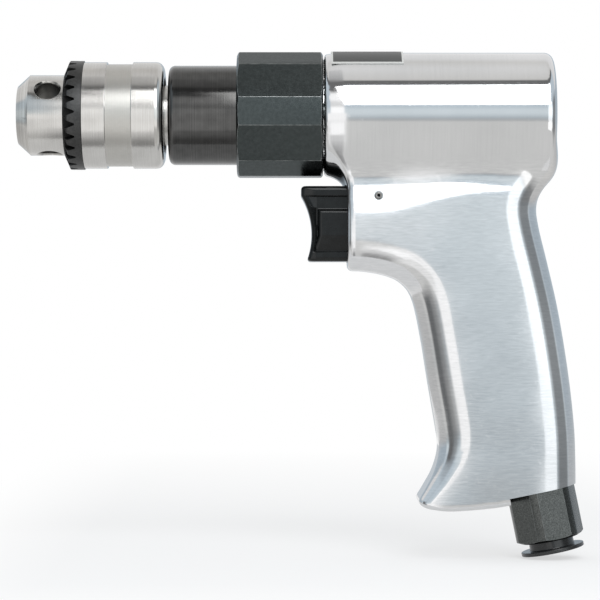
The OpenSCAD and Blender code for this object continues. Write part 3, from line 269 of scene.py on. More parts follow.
def turned(corners, sides=144):
    """Points and faces of a closed profile turned about the spindle's axis."""
    line = eased(corners)
    turn = np.linspace(0, 2 * math.pi, sides, endpoint=False)[:, None]
    along = np.broadcast_to(line[:, 0], (sides, len(line)))
    points = np.stack([along, line[:, 1] * np.cos(turn), line[:, 1] * np.sin(turn)], axis=2).reshape(-1, 3)
    count = len(line)
    faces = [(i * count + j, i * count + (j + 1) % count,
              (i + 1) % sides * count + (j + 1) % count, (i + 1) % sides * count + j)
             for i in range(sides) for j in range(count)]
    return points, faces


def cut_out(made, shapes):
    """Cuts solid shapes out of a piece."""
    tools = []
    for number, (points, faces) in enumerate(shapes):
        tool = piece(f"cutter_{number}", points, faces)
        tools.append(tool)
        trim = made.modifiers.new("cut", "BOOLEAN")
        trim.operation, trim.solver, trim.object = "DIFFERENCE", "EXACT", tool
    settle(made)
    for tool in tools:
        bpy.data.objects.remove(tool)


valve_z, pin_x, pin_z = -37.0, -119.5, -27.2
bore_floor, motor_bore_r = -169.8, 17.0
pocket_rear, pocket_lead, pocket_half, pocket_foot, pocket_top = -130.5, 3.0, 8.6, -49.1, -23.5
pin_r, pin_reach, pin_ring_r, pin_ring_depth, pin_ring_reach = 1.22, 16.0, 1.65, 3.0, 17.0
valve_seat, valve_bore_r, chamber_rear, chamber_r = -149.0, 6.52, -162.5, 6.0
inlet_bore_r, inlet_bore_in, inlet_bore_out = 8.02, 14.2, 9.0
airway_r, airway_foot, airway_top = 4.5, 13.0, 89.0
exhaust_at = np.array([-152.0, 0.0, -130.3])
exhaust_lean = math.atan2(11.9, 75.3)
exhaust_in = np.array([math.sin(exhaust_lean), 0.0, math.cos(exhaust_lean)])
cap_seat_r, cap_seat_in, cap_seat_out = 7.42, 2.8, 6.0
muffler_r, muffler_foot, muffler_top = 6.0, 2.0, 76.0
clear, overlap, hole_sides = 30.0, 1.0, 48
cut_out(housing, [
    block((-inlet_flat_front, -clear, 0), (clear, clear, clear),
          (inlet_rearward, (0, 1, 0), inlet_out), inlet_at),
    bar((bore_floor, 0, 0), (spigot_front + overlap, 0, 0), motor_bore_r),
    block((pocket_rear, -pocket_half, pocket_foot), (nose_face + pocket_lead, pocket_half, pocket_top)),
    bar((pin_x, -pin_reach, pin_z), (pin_x, pin_reach, pin_z), pin_r, hole_sides),
    *(bar((pin_x, side * (grip_half - pin_ring_depth), pin_z), (pin_x, side * pin_ring_reach, pin_z),
          pin_ring_r, hole_sides) for side in (1, -1)),
    bar((valve_seat, 0, valve_z), (pocket_rear + overlap, 0, valve_z), valve_bore_r),
    bar((chamber_rear, 0, valve_z), (valve_seat + overlap, 0, valve_z), chamber_r),
    bar(inlet_at - inlet_bore_in * inlet_out, inlet_at + inlet_bore_out * inlet_out, inlet_bore_r),
    bar(inlet_at - airway_top * inlet_out, inlet_at - airway_foot * inlet_out, airway_r),
    bar(exhaust_at - cap_seat_out * exhaust_in, exhaust_at + cap_seat_in * exhaust_in, cap_seat_r),
    bar(exhaust_at + muffler_foot * exhaust_in, exhaust_at + muffler_top * exhaust_in, muffler_r),
])


class Wire:
    """A socket in a node tree: arithmetic on it adds Math nodes, and node() adds any other node."""

    def __init__(self, tree, socket=None):
        self.tree, self.socket = tree, socket

    def node(self, kind, settings=None, sockets=None, output=0):
        made = self.tree.nodes.new(kind if "Node" in kind else "ShaderNode" + kind)
        for key, value in (settings or {}).items():
            if key == "stops":
                ramp = made.color_ramp.elements
                for element, stop in ((ramp[0], value[0]), (ramp[-1], value[-1])):
                    element.position, element.color = stop
                for place, colour in value[1:-1]:
                    ramp.new(place).color = colour
            else:
                setattr(made, key, value)
        for key, value in (sockets or {}).items():
            if isinstance(value, Wire):
                self.tree.links.new(value.socket, made.inputs[key])
            else:
                made.inputs[key].default_value = value
        return Wire(self.tree, made.outputs[output])

    def _math(self, operation, first, second):
        return self.node("Math", {"operation": operation}, {0: first, 1: second})

    def __add__(self, other):
        return self._math("ADD", self, other)

    def __radd__(self, other):
        return self._math("ADD", other, self)

    def __sub__(self, other):
        return self._math("SUBTRACT", self, other)

    def __rsub__(self, other):
        return self._math("SUBTRACT", other, self)

    def __mul__(self, other):
        return self._math("MULTIPLY", self, other)

    def __rmul__(self, other):
        return self._math("MULTIPLY", other, self)

    def __truediv__(self, other):
        return self._math("DIVIDE", self, other)

    def __pow__(self, other):
        return self._math("POWER", self, other)

    def __abs__(self):
        return self.node("Math", {"operation": "ABSOLUTE"}, {0: self})

    def limited(self, low, high):
        """The value mapped from low..high to 0..1 and kept there."""
        return self.node("MapRange", {"clamp": True}, {"Value": self, "From Min": low, "From Max": high})


def finish(name, surface):
    """New material whose shader the given function builds from a bare Wire."""
    material = bpy.data.materials.new(name)
    material.use_nodes = True
    tree = material.node_tree
    tree.nodes.clear()
    shader = surface(Wire(tree))
    out = tree.nodes.new("ShaderNodeOutputMaterial")
    tree.links.new(shader.socket, out.inputs["Surface"])
    return material


def between(wire, share, low, high):
    """Colour mixed between two colours."""
    return wire.node("Mix", {"data_type": "RGBA"}, {0: share, 6: low, 7: high}, output=2)


def place_of(wire):
    """Object coordinates, and their three parts."""
    place = wire.node("TexCoord", output="Object")
    return place, [wire.node("SeparateXYZ", None, {0: place}, output=i) for i in range(3)]


def noise(wire, place, scale, detail, distortion=0.0):
    """Noise that varies with a place in space."""
    return wire.node("TexNoise", None, {
        "Vector": place, "Scale": scale, "Detail": detail, "Distortion": distortion})


def bumped(wire, height, strength, depth):
    """Surface direction tilted by a height."""
    return wire.node("Bump", None, {"Strength": strength, "Distance": depth, "Height": height})


# The polish: its lines run across the grip and round the barrel, and it is duller by the cross pin
lines_turn, grip_stretch, barrel_stretch = (-0.021, -0.013), (260.0, 260.0, 1900.0), (2600.0, 50.0, 50.0)
dull_foot, dull_top, dull_ahead = (-0.047, -0.036), (-0.026, -0.021), (-0.165, -0.135)
dim_metal, bright_metal, mid_span = (0.57, 0.575, 0.58, 1), (0.69, 0.69, 0.695, 1), (0.3, 0.7)


def polished_aluminium(wire):
    place, (x, _, z) = place_of(wire)
    on_barrel = z.limited(*lines_turn)
    across = wire.node("Mapping", None, {"Vector": place, "Scale": grip_stretch})
    round_about = wire.node("Mapping", None, {"Vector": place, "Scale": barrel_stretch})
    grip_lines = noise(wire, across, scale=1.0, detail=3.0, distortion=0.6)
    barrel_lines = noise(wire, round_about, scale=1.0, detail=2.0)
    lines = grip_lines * (1 - on_barrel) + (0.35 + 0.3 * barrel_lines) * on_barrel
    clouds = noise(wire, place, scale=45.0, detail=3.0)
    scratch = noise(wire, place, scale=700.0, detail=2.0).limited(0.62, 0.75)
    dull = z.limited(*dull_foot) * (1 - z.limited(*dull_top)) * x.limited(*dull_ahead)
    rough = 0.06 + 0.06 * lines + 0.04 * clouds + 0.06 * scratch - 0.03 * on_barrel + 0.09 * dull
    tone = (0.4 * clouds + 0.6 * lines).limited(*mid_span)
    return wire.node("BsdfPrincipled", None, {
        "Base Color": between(wire, tone, dim_metal, bright_metal), "Metallic": 1.0, "Roughness": rough,
        "Normal": bumped(wire, lines + 0.4 * clouds, strength=0.25, depth=0.00002)})


def fit(made, material, body, slot, *stands_for):
    """Gives a finished piece its material and body, and hides what it stands for in the frame; slot is not
    used.
    """
    if not any(made.data.materials):
        made.data.materials.clear()
        made.data.materials.append(material)
    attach(made, body)
    if stands_for:
        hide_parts(*stands_for)


fit(housing, finish("polished_aluminium", polished_aluminium), "housing", "polished_aluminium", "housing")

# Name plate: a thin dark plate with a pale rim, bent round the top of the barrel and left bare.
# It is glued down with nothing on it.
plate_front, plate_len, plate_half_wrap, plate_t = -104.0, 23.7, 40.0, 0.4
plate_rim, rim_fade, rim_pale = 0.6, 0.8, (0.62, 0.62, 0.60, 1)
plate_dark, plate_light = (0.055, 0.056, 0.055, 1), (0.085, 0.086, 0.084, 1)


def dark_plate(wire):
    place, (x, y, _) = place_of(wire)
    front, rear, rim = plate_front * MM, (plate_front - plate_len) * MM, plate_rim * MM
    side = math.sin(math.radians(plate_half_wrap)) * (barrel_r + plate_t) * MM
    inner = rim * rim_fade
    at_end = x.limited(front - rim, front - inner) + (1 - x.limited(rear + inner, rear + rim))
    edge = (at_end + abs(y).limited(side - rim, side - inner)).limited(0.0, 1.0)
    grain = noise(wire, place, scale=900.0, detail=3.0)
    return wire.node("BsdfPrincipled", None, {
        "Base Color": between(wire, edge, between(wire, grain, plate_dark, plate_light), rim_pale),
        "Metallic": 0.4, "Roughness": 0.38 + 0.12 * grain,
        "Normal": bumped(wire, grain, strength=0.2, depth=0.00002)})


def paint(name, material):
    """Gives a frame node its material."""
    target = nodes[name]
    target.data.materials.clear()
    target.data.materials.append(material)


paint("name_plate", finish("plate_grey", dark_plate))


# Motor: cylinder and end plates of cast iron, steel rotor with phenolic vanes on two ball bearings.
# All of it slides into the barrel from the front against a gasket.
def turning_marks(wire, along, scale, detail):
    """Noise along one measure, for the rings that a lathe leaves."""
    return wire.node("TexNoise", {"noise_dimensions": "1D"}, {"W": along * scale, "Detail": detail})


def worn(name, low, high, rough, spread, scale, depth, lines=0.0, metallic=1.0, gloss=0.5):
    """Mottled material, with turned rings about the spindle where lines is more than 0."""

    def surface(wire):
        place, (x, y, z) = place_of(wire)
        height = noise(wire, place, scale, detail=4.0)
        if lines:
            rings = turning_marks(wire, x + (y * y + z * z) ** 0.5, lines, detail=2.0)
            height = 0.3 * height + 0.7 * rings
        return wire.node("BsdfPrincipled", None, {
            "Base Color": between(wire, height.limited(*mid_span), (*low, 1), (*high, 1)),
            "Metallic": metallic, "Roughness": rough + spread * height, "Specular IOR Level": gloss,
            "Normal": bumped(wire, height, strength=0.4, depth=depth)})

    return finish(name, surface)


cast_iron = worn("cast_iron", (0.16, 0.16, 0.16), (0.26, 0.26, 0.25),
                 rough=0.45, spread=0.2, scale=500.0, depth=0.00004, lines=2500.0)
bearing_steel = worn("bearing_steel", (0.5, 0.5, 0.5), (0.6, 0.6, 0.59),
                     rough=0.12, spread=0.12, scale=400.0, depth=0.00001, lines=3000.0)
gear_steel = worn("gear_steel", (0.30, 0.30, 0.31), (0.42, 0.42, 0.42),
                  rough=0.25, spread=0.2, scale=600.0, depth=0.00002, lines=2000.0)
phenolic = worn("phenolic", (0.20, 0.10, 0.04), (0.30, 0.17, 0.07),
                rough=0.5, spread=0.2, scale=900.0, depth=0.00003, metallic=0.0)
felt = worn("felt", (0.13, 0.11, 0.08), (0.24, 0.21, 0.16),
            rough=0.85, spread=0.1, scale=1500.0, depth=0.0002, metallic=0.0)
for inner in ("cylinder", "front_end_plate", "rear_end_plate"):
    paint(inner, cast_iron)
for inner in ("rotor", "cylinder_pin"):
    paint(inner, gear_steel)
paint("rotor_vanes", phenolic)
paint("motor_gasket", felt)
for end in ("front", "rear"):
    for ring in ("outer", "inner", "balls"):
        paint(f"rotor_{end}_bearing_{ring}", bearing_steel)

# Gear train: hardened ring gear and three planets on bronze bushes, carried by the spindle.
# The spindle runs in a ball bearing behind a felt seal, held in the gear case by a retaining ring.
bronze = worn("bronze", (0.36, 0.22, 0.09), (0.48, 0.31, 0.14),
              rough=0.25, spread=0.2, scale=500.0, depth=0.00002, lines=2500.0)
dark_steel = worn("dark_steel", (0.08, 0.08, 0.08), (0.16, 0.16, 0.16),
                  rough=0.3, spread=0.2, scale=500.0, depth=0.00002, lines=1500.0)
spindle_steel = worn("spindle_steel", (0.42, 0.41, 0.39), (0.55, 0.54, 0.52),
                     rough=0.18, spread=0.15, scale=300.0, depth=0.00002, lines=2200.0)
for number in (1, 2, 3):
    paint(f"planet_gear_{number}", gear_steel)
    paint(f"planet_bush_{number}", bronze)
for inner in ("ring_gear", "carrier_plate"):
    paint(inner, gear_steel)
paint("planet_pins", bearing_steel)
for ring in ("outer", "inner", "balls"):
    paint(f"spindle_bearing_{ring}", bearing_steel)
paint("spindle_seal", felt)
paint("retaining_ring", dark_steel)
paint("spindle", spindle_steel)

# Gear case: a turned steel cup with a long nose, blackened in a hot oxide bath and left glossy.
# It holds the spindle's bearing and the ring gear, and its flange is clamped by the nut.
black_oxide = worn("black_oxide", (0.050, 0.050, 0.049), (0.105, 0.104, 0.102),
                   rough=0.09, spread=0.1, scale=350.0, depth=0.000003, lines=700.0)
case_edge = 0.15
same_point, flat_angle, round_steps, round_from, crease = 0.000002, 0.3, 3, 18, 9


def sharpened(name, width, material, edge=None):
    """Copy of a frame node with its doubled points merged and its edges broken by a small round."""
    mesh = nodes[name].data.copy()
    made = bpy.data.objects.new(name + "_finished", mesh)
    bpy.context.scene.collection.objects.link(made)
    edit = bmesh.new()
    edit.from_mesh(mesh)
    bmesh.ops.remove_doubles(edit, verts=edit.verts, dist=same_point)
    bmesh.ops.dissolve_limit(edit, angle_limit=math.radians(flat_angle), verts=edit.verts, edges=edit.edges)
    edit.to_mesh(mesh)
    edit.free()
    stored = mesh.attributes.get("custom_normal")
    if stored:
        mesh.attributes.remove(stored)
    mesh.materials.clear()
    mesh.materials.append(material)
    bevel = made.modifiers.new("round", "BEVEL")
    bevel.width, bevel.segments, bevel.limit_method = width * MM, round_steps, "ANGLE"
    bevel.angle_limit = math.radians(round_from)
    if edge:
        mesh.materials.append(edge)
        bevel.material = 1
    return settle(made, sharp=crease)


fit(sharpened("gear_case", case_edge, black_oxide), black_oxide, "housing", "black_oxide", "gear_case")

# Clamp nut: a hexagon whose corners are cut to flats, of satin black steel, bevelled at both ends.
# It screws on the barrel's spigot and holds the gear case.
nut_edge = 0.2
satin_black = worn("satin_black_steel", (0.050, 0.058, 0.058), (0.066, 0.076, 0.076),
                   rough=0.2, spread=0.08, scale=900.0, depth=0.000003)
bare_edge = worn("bare_edge", (0.07, 0.075, 0.075), (0.34, 0.35, 0.35),
                 rough=0.22, spread=0.16, scale=420.0, depth=0.000005)
fit(sharpened("clamp_nut", nut_edge, satin_black, bare_edge), satin_black,
    "housing", "satin_black_steel", "clamp_nut")

# Chuck: body and sleeve of ground steel with the marks of turning, the waist of the sleeve left rougher.
# Three hardened jaws run in the body's slanting holes, moved by a split nut that is pressed in the sleeve.
# Painted shade: inside hole_r, and behind the nose chamfer, the steel is drawn darker in the key holes and
# the bore
hole_r, hole_soft, nose_chamfer_end, chamfer_soft = 13.1, 0.6, -4.3, 0.2
waist_front, waist_rear, waist_soft, body_edge, sleeve_edge = -29.7, -38.3, 0.25, 0.12, 0.15
steel_dark, steel_light = (0.38, 0.37, 0.355, 1), (0.60, 0.59, 0.57, 1)
waist_grey, painted_hole_shade = (0.40, 0.39, 0.36, 1), (0.07, 0.066, 0.06, 1)


def ground_steel(wire):
    place, (x, y, z) = place_of(wire)
    radius = (y * y + z * z) ** 0.5
    fine = turning_marks(wire, x + radius, scale=5200.0, detail=3.0)
    broad = turning_marks(wire, x + radius, scale=900.0, detail=2.0)
    smear = noise(wire, place, scale=160.0, detail=3.0)
    mottle = noise(wire, place, scale=1100.0, detail=3.0)
    # Painted shade: the colour darkens inside the key holes and the bore, where shade falls; it is also
    # rougher there
    hole_shade_mask = 1 - radius.limited((hole_r - hole_soft) * MM, hole_r * MM)
    hole_shade_mask = hole_shade_mask * (1 - x.limited((nose_chamfer_end - chamfer_soft) * MM, nose_chamfer_end * MM))
    waist = 1 - x.limited((waist_front - waist_soft) * MM, waist_front * MM)
    waist = waist * x.limited(waist_rear * MM, (waist_rear + waist_soft) * MM)
    tone = 0.45 * fine + 0.3 * broad + 0.25 * smear
    colour = between(wire, tone.limited(*mid_span), steel_dark, steel_light)
    colour = between(wire, waist * (0.35 + 0.4 * mottle), colour, waist_grey)
    height = 0.6 * fine + 0.2 * smear + waist * mottle
    return wire.node("BsdfPrincipled", None, {
        "Base Color": between(wire, hole_shade_mask * 0.7, colour, painted_hole_shade), "Metallic": 1.0,
        "Roughness": 0.09 + 0.1 * tone + waist * (0.12 + 0.12 * mottle) + hole_shade_mask * 0.15,
        "Normal": bumped(wire, height, strength=0.6, depth=0.000012)})


chuck_steel = finish("ground_steel", ground_steel)
fit(sharpened("chuck_body", body_edge, chuck_steel), chuck_steel,
    "spindle", "ground_steel", "chuck_body")
fit(sharpened("chuck_sleeve", sleeve_edge, chuck_steel), chuck_steel,
    "sleeve", "ground_steel", "chuck_sleeve")
for number in (1, 2, 3):
    paint(f"chuck_jaw_{number}", dark_steel)
paint("chuck_split_nut", gear_steel)
paint("chuck_screw", dark_steel)

# Toothed ring: blackened steel, pressed on the front of the sleeve, with 27 gaps cut in its rim.
# The chuck key's bevel gear turns the sleeve by these teeth.
ring_rear, ring_front, ring_bevel, ring_bore, ring_rim, ring_land = -22.0, -15.6, 1.8, 13.55, 18.1, 0.4
ring_rear_edge, ring_rim_edge, ring_front_edge = 0.15, 0.35, 0.1
gap_count, gap_depth, gap_len, gap_mouth, gap_end, gap_from, gap_steps = 27, 2.6, 4.3, 1.68, 0.45, 0.6, 9
# Painted shade: the ring is drawn darker down in its gaps, below the rim
gap_shade_from, gap_shade_to = 0.1, 0.8
ring_dark, ring_light, painted_gap_shade = (0.040, 0.040, 0.040, 1), (0.075, 0.075, 0.074, 1), (0.008, 0.008, 0.008, 1)


def key_black(wire):
    place, (_, y, z) = place_of(wire)
    radius = (y * y + z * z) ** 0.5
    grain = noise(wire, place, scale=1600.0, detail=4.0)
    patches = noise(wire, place, scale=220.0, detail=3.0)
    # Painted shade in the gaps: darker towards their bottoms, where shade falls; also rougher there
    gap_shade_mask = 1 - radius.limited((ring_rim - gap_shade_to) * MM, (ring_rim - gap_shade_from) * MM)
    tone = 0.6 * grain + 0.4 * patches
    colour = between(wire, tone.limited(*mid_span), ring_dark, ring_light)
    return wire.node("BsdfPrincipled", None, {
        "Base Color": between(wire, gap_shade_mask * 0.8, colour, painted_gap_shade), "Metallic": 1.0,
        "Roughness": 0.3 + 0.2 * tone + 0.2 * gap_shade_mask,
        "Normal": bumped(wire, grain, strength=0.4, depth=0.00001)})


ring_black = finish("key_ring_black", key_black)


def new_group(name, takes):
    """New geometry node group, a bare Wire in it, and a Wire from each input that it takes."""
    group = bpy.data.node_groups.new(name, "GeometryNodeTree")
    for label, kind in takes.items():
        group.interface.new_socket(label, in_out="INPUT", socket_type="NodeSocket" + kind)
    group.interface.new_socket("Shape", in_out="OUTPUT", socket_type="NodeSocketGeometry")
    start = Wire(group)
    return group, start, [start.node("NodeGroupInput", output=label) for label in takes]


def end_group(group, shape, material):
    """Ends a node group with one real mesh and its material."""
    shape = shape.node("GeometryNodeRealizeInstances", None, {"Geometry": shape})
    shape = shape.node("GeometryNodeSetMaterial", None, {"Geometry": shape, "Material": material})
    group.links.new(shape.socket, group.nodes.new("NodeGroupOutput").inputs["Shape"])


def formed(made, group, values, **shading):
    """Puts a piece through a node group, with values given by the names of its sockets."""
    forming = made.modifiers.new(group.name, "NODES")
    forming.node_group = group
    for socket in group.interface.items_tree:
        if socket.name in values:
            forming[socket.identifier] = values[socket.name]
    return settle(made, **shading)


ring_cuts, start, (blank, number_of, tool_of, finish_of) = new_group("cuts_in_a_ring", {
    "Blank": "Geometry", "Number": "Int", "Tool": "Object", "Finish": "Material"})
spots = start.node("GeometryNodeMeshLine", {"mode": "OFFSET"}, {
    "Count": number_of, "Offset": (0.0, 0.0, 0.0)})
turn = start.node("GeometryNodeInputIndex") * (2 * math.pi) / number_of
turn = start.node("FunctionNodeAxisAngleToRotation", None, {"Axis": (1.0, 0.0, 0.0), "Angle": turn})
shape = start.node("GeometryNodeObjectInfo", None, {"Object": tool_of}, output="Geometry")
tools = start.node("GeometryNodeInstanceOnPoints", None, {
    "Points": spots, "Instance": shape, "Rotation": turn})
tools = start.node("GeometryNodeRealizeInstances", None, {"Geometry": tools})
cut = start.node("GeometryNodeMeshBoolean", {"operation": "DIFFERENCE", "solver": "EXACT"},
                 {"Mesh 1": blank, "Mesh 2": tools})
end_group(ring_cuts, cut, finish_of)


def cut_round(made, count, tool_shape, material):
    """Cuts a tool's shape out of a piece at even steps about the spindle's axis."""
    tool = piece("ring_tool", *tool_shape)
    formed(made, ring_cuts, {"Number": count, "Tool": tool, "Finish": material})
    bpy.data.objects.remove(tool)


def prism(outline, low, high):
    """Points and faces of an outline (x, z) drawn out along Y."""
    count = len(outline)
    points = [(x, y, z) for y in (low, high) for x, z in outline]
    sides = [(i, (i + 1) % count, count + (i + 1) % count, count + i) for i in range(count)]
    return points, sides + [tuple(range(count - 1, -1, -1)), tuple(range(count, 2 * count))]


gap_line = [(ring_front - gap_from, gap_mouth), (ring_front - gap_from, -gap_mouth)]
gap_line += [(ring_front - gap_len + gap_end - gap_end * math.sin(a), gap_end * -math.cos(a))
             for a in np.linspace(0, math.pi, gap_steps)]
key_ring = piece("chuck_key_ring_finished", *turned([
    (ring_rear, ring_bore, 0), (ring_rear, ring_rim, ring_rear_edge),
    (ring_front - ring_bevel, ring_rim, ring_rim_edge),
    (ring_front, ring_bore + ring_land, ring_front_edge), (ring_front, ring_bore, 0)]))
cut_round(key_ring, gap_count, prism(gap_line, ring_rim - gap_depth, ring_rim + overlap), ring_black)
fit(key_ring, ring_black, "sleeve", "phosphate_steel", "chuck_key_ring")

# Trigger: glossy black plastic, moulded with a lip above and below, a hollow finger face and a block
# that stands out on each side. It slides on a hollow steel cross pin, and pushes the valve open
# against two springs.
trigger_tail, trigger_tip, trigger_top, trigger_foot, trigger_half = -123.5, -94.0, -23.8, -48.8, 8.3
finger_r, finger_x, finger_z = 25.0, -97.5, -39.8
tip_round, side_round, round_rows, grid = 1.3, 1.4, 7, 0.2
recess_depth, lip_under, lip_over, lip_step, rim_in, rim_out = 1.6, -26.9, -45.7, 0.5, 1.9, 1.2
block_drop, block_top, block_front, block_slope, block_foot = 0.25, -31.6, -99.7, -40.2, -45.0
block_round, block_lean, block_step = 1.1, 0.26, 0.3


def drop_of(reach, ease):
    """How far an edge of a given round falls back at a distance from its end."""
    inward = np.clip(ease - reach, 0, ease)
    return ease - np.sqrt(ease ** 2 - inward ** 2)


ends = side_round * (1 - np.cos(np.linspace(0, math.pi / 2, round_rows)))
rows = np.arange(trigger_top - side_round - grid, trigger_foot + side_round + grid / 2, -grid)
rows = np.concatenate([trigger_top - ends, rows, trigger_foot + ends[::-1]])
front = np.minimum(finger_x + finger_r - np.sqrt(finger_r ** 2 - (rows - finger_z) ** 2), trigger_tip)
front = front - drop_of(trigger_top - rows, tip_round) - drop_of(rows - trigger_foot, tip_round)
inner = np.arange(finger_x - side_round - grid, trigger_tail - grid / 2, -grid)
inner[-1] = trigger_tail
flat_z = np.repeat(rows[:, None], len(ends) + len(inner), axis=1)
flat_x = np.concatenate([front[:, None] - ends, np.repeat(inner[None, :], len(rows), axis=0)], axis=1)
upper_lip = gentle(flat_z, lip_under - lip_step, lip_under)
lower_lip = gentle(flat_z, lip_over + lip_step, lip_over)
rim = gentle(front[:, None] - flat_x, rim_in, rim_out)
edge_in = block_front + np.clip((block_slope - flat_z) * block_lean, 0, None) - flat_x
inside = np.clip(np.minimum(edge_in, block_top - flat_z), 0, None)
proud = recess_depth - block_drop - drop_of(inside, block_round)
proud = proud * gentle(edge_in, -block_step, 0) * gentle(flat_z, block_top + block_step, block_top)
proud = proud * np.clip((flat_z - block_foot) / (block_slope - block_foot), 0, 1)
level = np.maximum(np.maximum.reduce([upper_lip, lower_lip, rim]) * recess_depth, proud)
flat_y = trigger_half - recess_depth + level - drop_of(front[:, None] - flat_x, side_round)
flat_y -= drop_of(trigger_top - flat_z, side_round) + drop_of(flat_z - trigger_foot, side_round)
count = flat_x.size
index = np.arange(count).reshape(flat_x.shape)
points = [np.stack([flat_x, side * flat_y, flat_z], axis=2).reshape(-1, 3) for side in (1, -1)]
quads = np.stack([index[:-1, :-1], index[:-1, 1:], index[1:, 1:], index[1:, :-1]], axis=2).reshape(-1, 4)
border = [*index[0, :-1], *index[:-1, -1], *index[-1, :0:-1], *index[:0:-1, 0]]
joins = [(a, a + count, b + count, b) for a, b in zip(border, border[1:] + border[:1])]
trigger = piece("trigger_finished", np.concatenate(points), [*quads, *(quads[:, ::-1] + count), *joins])
slot_r, slot_sides, trigger_travel = 1.4, 32, 6.0
seat_r, seat_end, stem_r, stem_end = 4.2, -115.0, 2.02, -112.0
cut_out(trigger, [
    *(bar((x, -clear, pin_z), (x, clear, pin_z), slot_r, slot_sides)
      for x in (pin_x, pin_x + trigger_travel)),
    block((pin_x, -clear, pin_z - slot_r), (pin_x + trigger_travel, clear, pin_z + slot_r)),
    bar((trigger_tail - overlap, 0, valve_z), (seat_end, 0, valve_z), seat_r, hole_sides),
    bar((trigger_tail - overlap, 0, valve_z), (stem_end, 0, valve_z), stem_r, hole_sides),
])
gloss_black = worn("black_plastic", (0.005, 0.0055, 0.0055), (0.009, 0.010, 0.010),
                   rough=0.05, spread=0.06, scale=500.0, depth=0.000003, metallic=0.0, gloss=0.26)
fit(trigger, gloss_black, "trigger", "black_plastic", "trigger")
cross_pin_r, cross_pin_bore, cross_pin_half, cross_pin_sides = 1.2, 0.5, 14.3, 64
bore_edge, end_edge = 0.1, 0.25
cross_pin = piece("trigger_pin_finished", *turned([
    (-cross_pin_half, cross_pin_bore, bore_edge), (-cross_pin_half, cross_pin_r, end_edge),
    (cross_pin_half, cross_pin_r, end_edge), (cross_pin_half, cross_pin_bore, bore_edge)], cross_pin_sides))
for point in cross_pin.data.vertices:
    along, out, side = point.co
    point.co = (pin_x * MM + out, along, pin_z * MM - side)
pin_steel = worn("pin_steel", (0.16, 0.155, 0.15), (0.28, 0.27, 0.26),
                 rough=0.25, spread=0.2, scale=1500.0, depth=0.00001)
fit(settle(cross_pin), pin_steel, "housing", "spindle_steel", "trigger_pin")

coil_r, wire_r, coil_turns, turn_steps, wire_sides, wire_crease = 3.4, 0.4, 6.0, 36, 12, 60
wound, start, (_, run, turns, coil, thick, finish_of) = new_group("wound_spring", {
    "Blank": "Geometry", "Run": "Float", "Turns": "Float", "Coil radius": "Float",
    "Wire radius": "Float", "Finish": "Material"})
coil = start.node("GeometryNodeCurveSpiral", None, {
    "Resolution": turn_steps, "Rotations": turns, "Start Radius": coil, "End Radius": coil, "Height": run})
section = start.node("GeometryNodeCurvePrimitiveCircle", None, {"Resolution": wire_sides, "Radius": thick})
coil = start.node("GeometryNodeCurveToMesh", None, {
    "Curve": coil, "Profile Curve": section, "Fill Caps": True})
end_group(wound, coil, finish_of)
for name in ("trigger_spring", "valve_spring"):
    low, high = (np.array(corner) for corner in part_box(name))
    length = high[0] - low[0]
    spring = formed(piece(name + "_finished", [], []), wound, {
        "Run": length - 2 * wire_r * MM, "Turns": coil_turns, "Coil radius": coil_r * MM,
        "Wire radius": wire_r * MM, "Finish": bearing_steel}, sharp=wire_crease)
    for point in spring.data.vertices:
        across, up, along = point.co
        point.co = (low[0] + wire_r * MM + along, across, valve_z * MM + up)
    fit(spring, bearing_steel, "housing", "bearing_steel", name)
    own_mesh(spring)
black_rubber = worn("black_rubber", (0.012, 0.012, 0.012), (0.03, 0.03, 0.03),
                    rough=0.55, spread=0.2, scale=700.0, depth=0.00003, metallic=0.0)
paint("valve_stem", bearing_steel)
paint("valve_head", black_rubber)
paint("valve_bush", bronze)

# Air inlet: a hexagon bush of phosphated steel with its corners turned off, screwed against a spot face.
# A rubber ring seals it, a screen lies in it, and a moulded dust plug closes it in storage.
bush_edge, plug_edge = 0.3, 0.25
phosphate = worn("phosphate_steel", (0.045, 0.048, 0.046), (0.115, 0.12, 0.116),
                 rough=0.2, spread=0.12, scale=2600.0, depth=0.000004)
fit(sharpened("inlet_bush", bush_edge, phosphate, bare_edge), phosphate,
    "housing", "phosphate_steel", "inlet_bush")
paint("inlet_o_ring", black_rubber)
paint("inlet_screen", bronze)
plug_black = worn("dust_plug_plastic", (0.008, 0.008, 0.008), (0.018, 0.018, 0.0175),
                  rough=0.14, spread=0.12, scale=700.0, depth=0.000006, metallic=0.0)
fit(sharpened("dust_plug", plug_edge, plug_black), plug_black, "plug", "black_plastic", "dust_plug")

# Exhaust: a felt roll in the grip that quiets the air, behind a round plastic cap with seven holes.
# The cap is pressed in the grip's foot, ahead of the inlet.
paint("exhaust_muffler", felt)
cap_r, cap_inner, cap_outer, cap_holes, cap_hole_r, cap_hole_circle = 7.4, 2.8, 0.8, 6, 1.1, 3.7
hole_edge, rim_edge, inner_edge = 0.2, 0.3, 0.1
cap_black = worn("cap_plastic", (0.016, 0.016, 0.016), (0.032, 0.032, 0.031),
                 rough=0.4, spread=0.2, scale=900.0, depth=0.00002, metallic=0.0)
cap = piece("exhaust_cap_finished", *turned([
    (cap_outer, cap_hole_r, hole_edge), (cap_outer, cap_r, rim_edge),
    (cap_inner, cap_r, inner_edge), (cap_inner, cap_hole_r, inner_edge)]))
cap_drill = bar((0, cap_hole_circle, 0), (cap_inner + overlap, cap_hole_circle, 0), cap_hole_r, slot_sides)
cut_round(cap, cap_holes, cap_drill, cap_black)
cap_axes = np.array([exhaust_in, (0.0, 1.0, 0.0), np.cross(exhaust_in, (0.0, 1.0, 0.0))])
for point in cap.data.vertices:
    point.co = (np.array(point.co) @ cap_axes + exhaust_at * MM).tolist()
fit(cap, cap_black, "housing", "dark_plastic", "exhaust_cap")

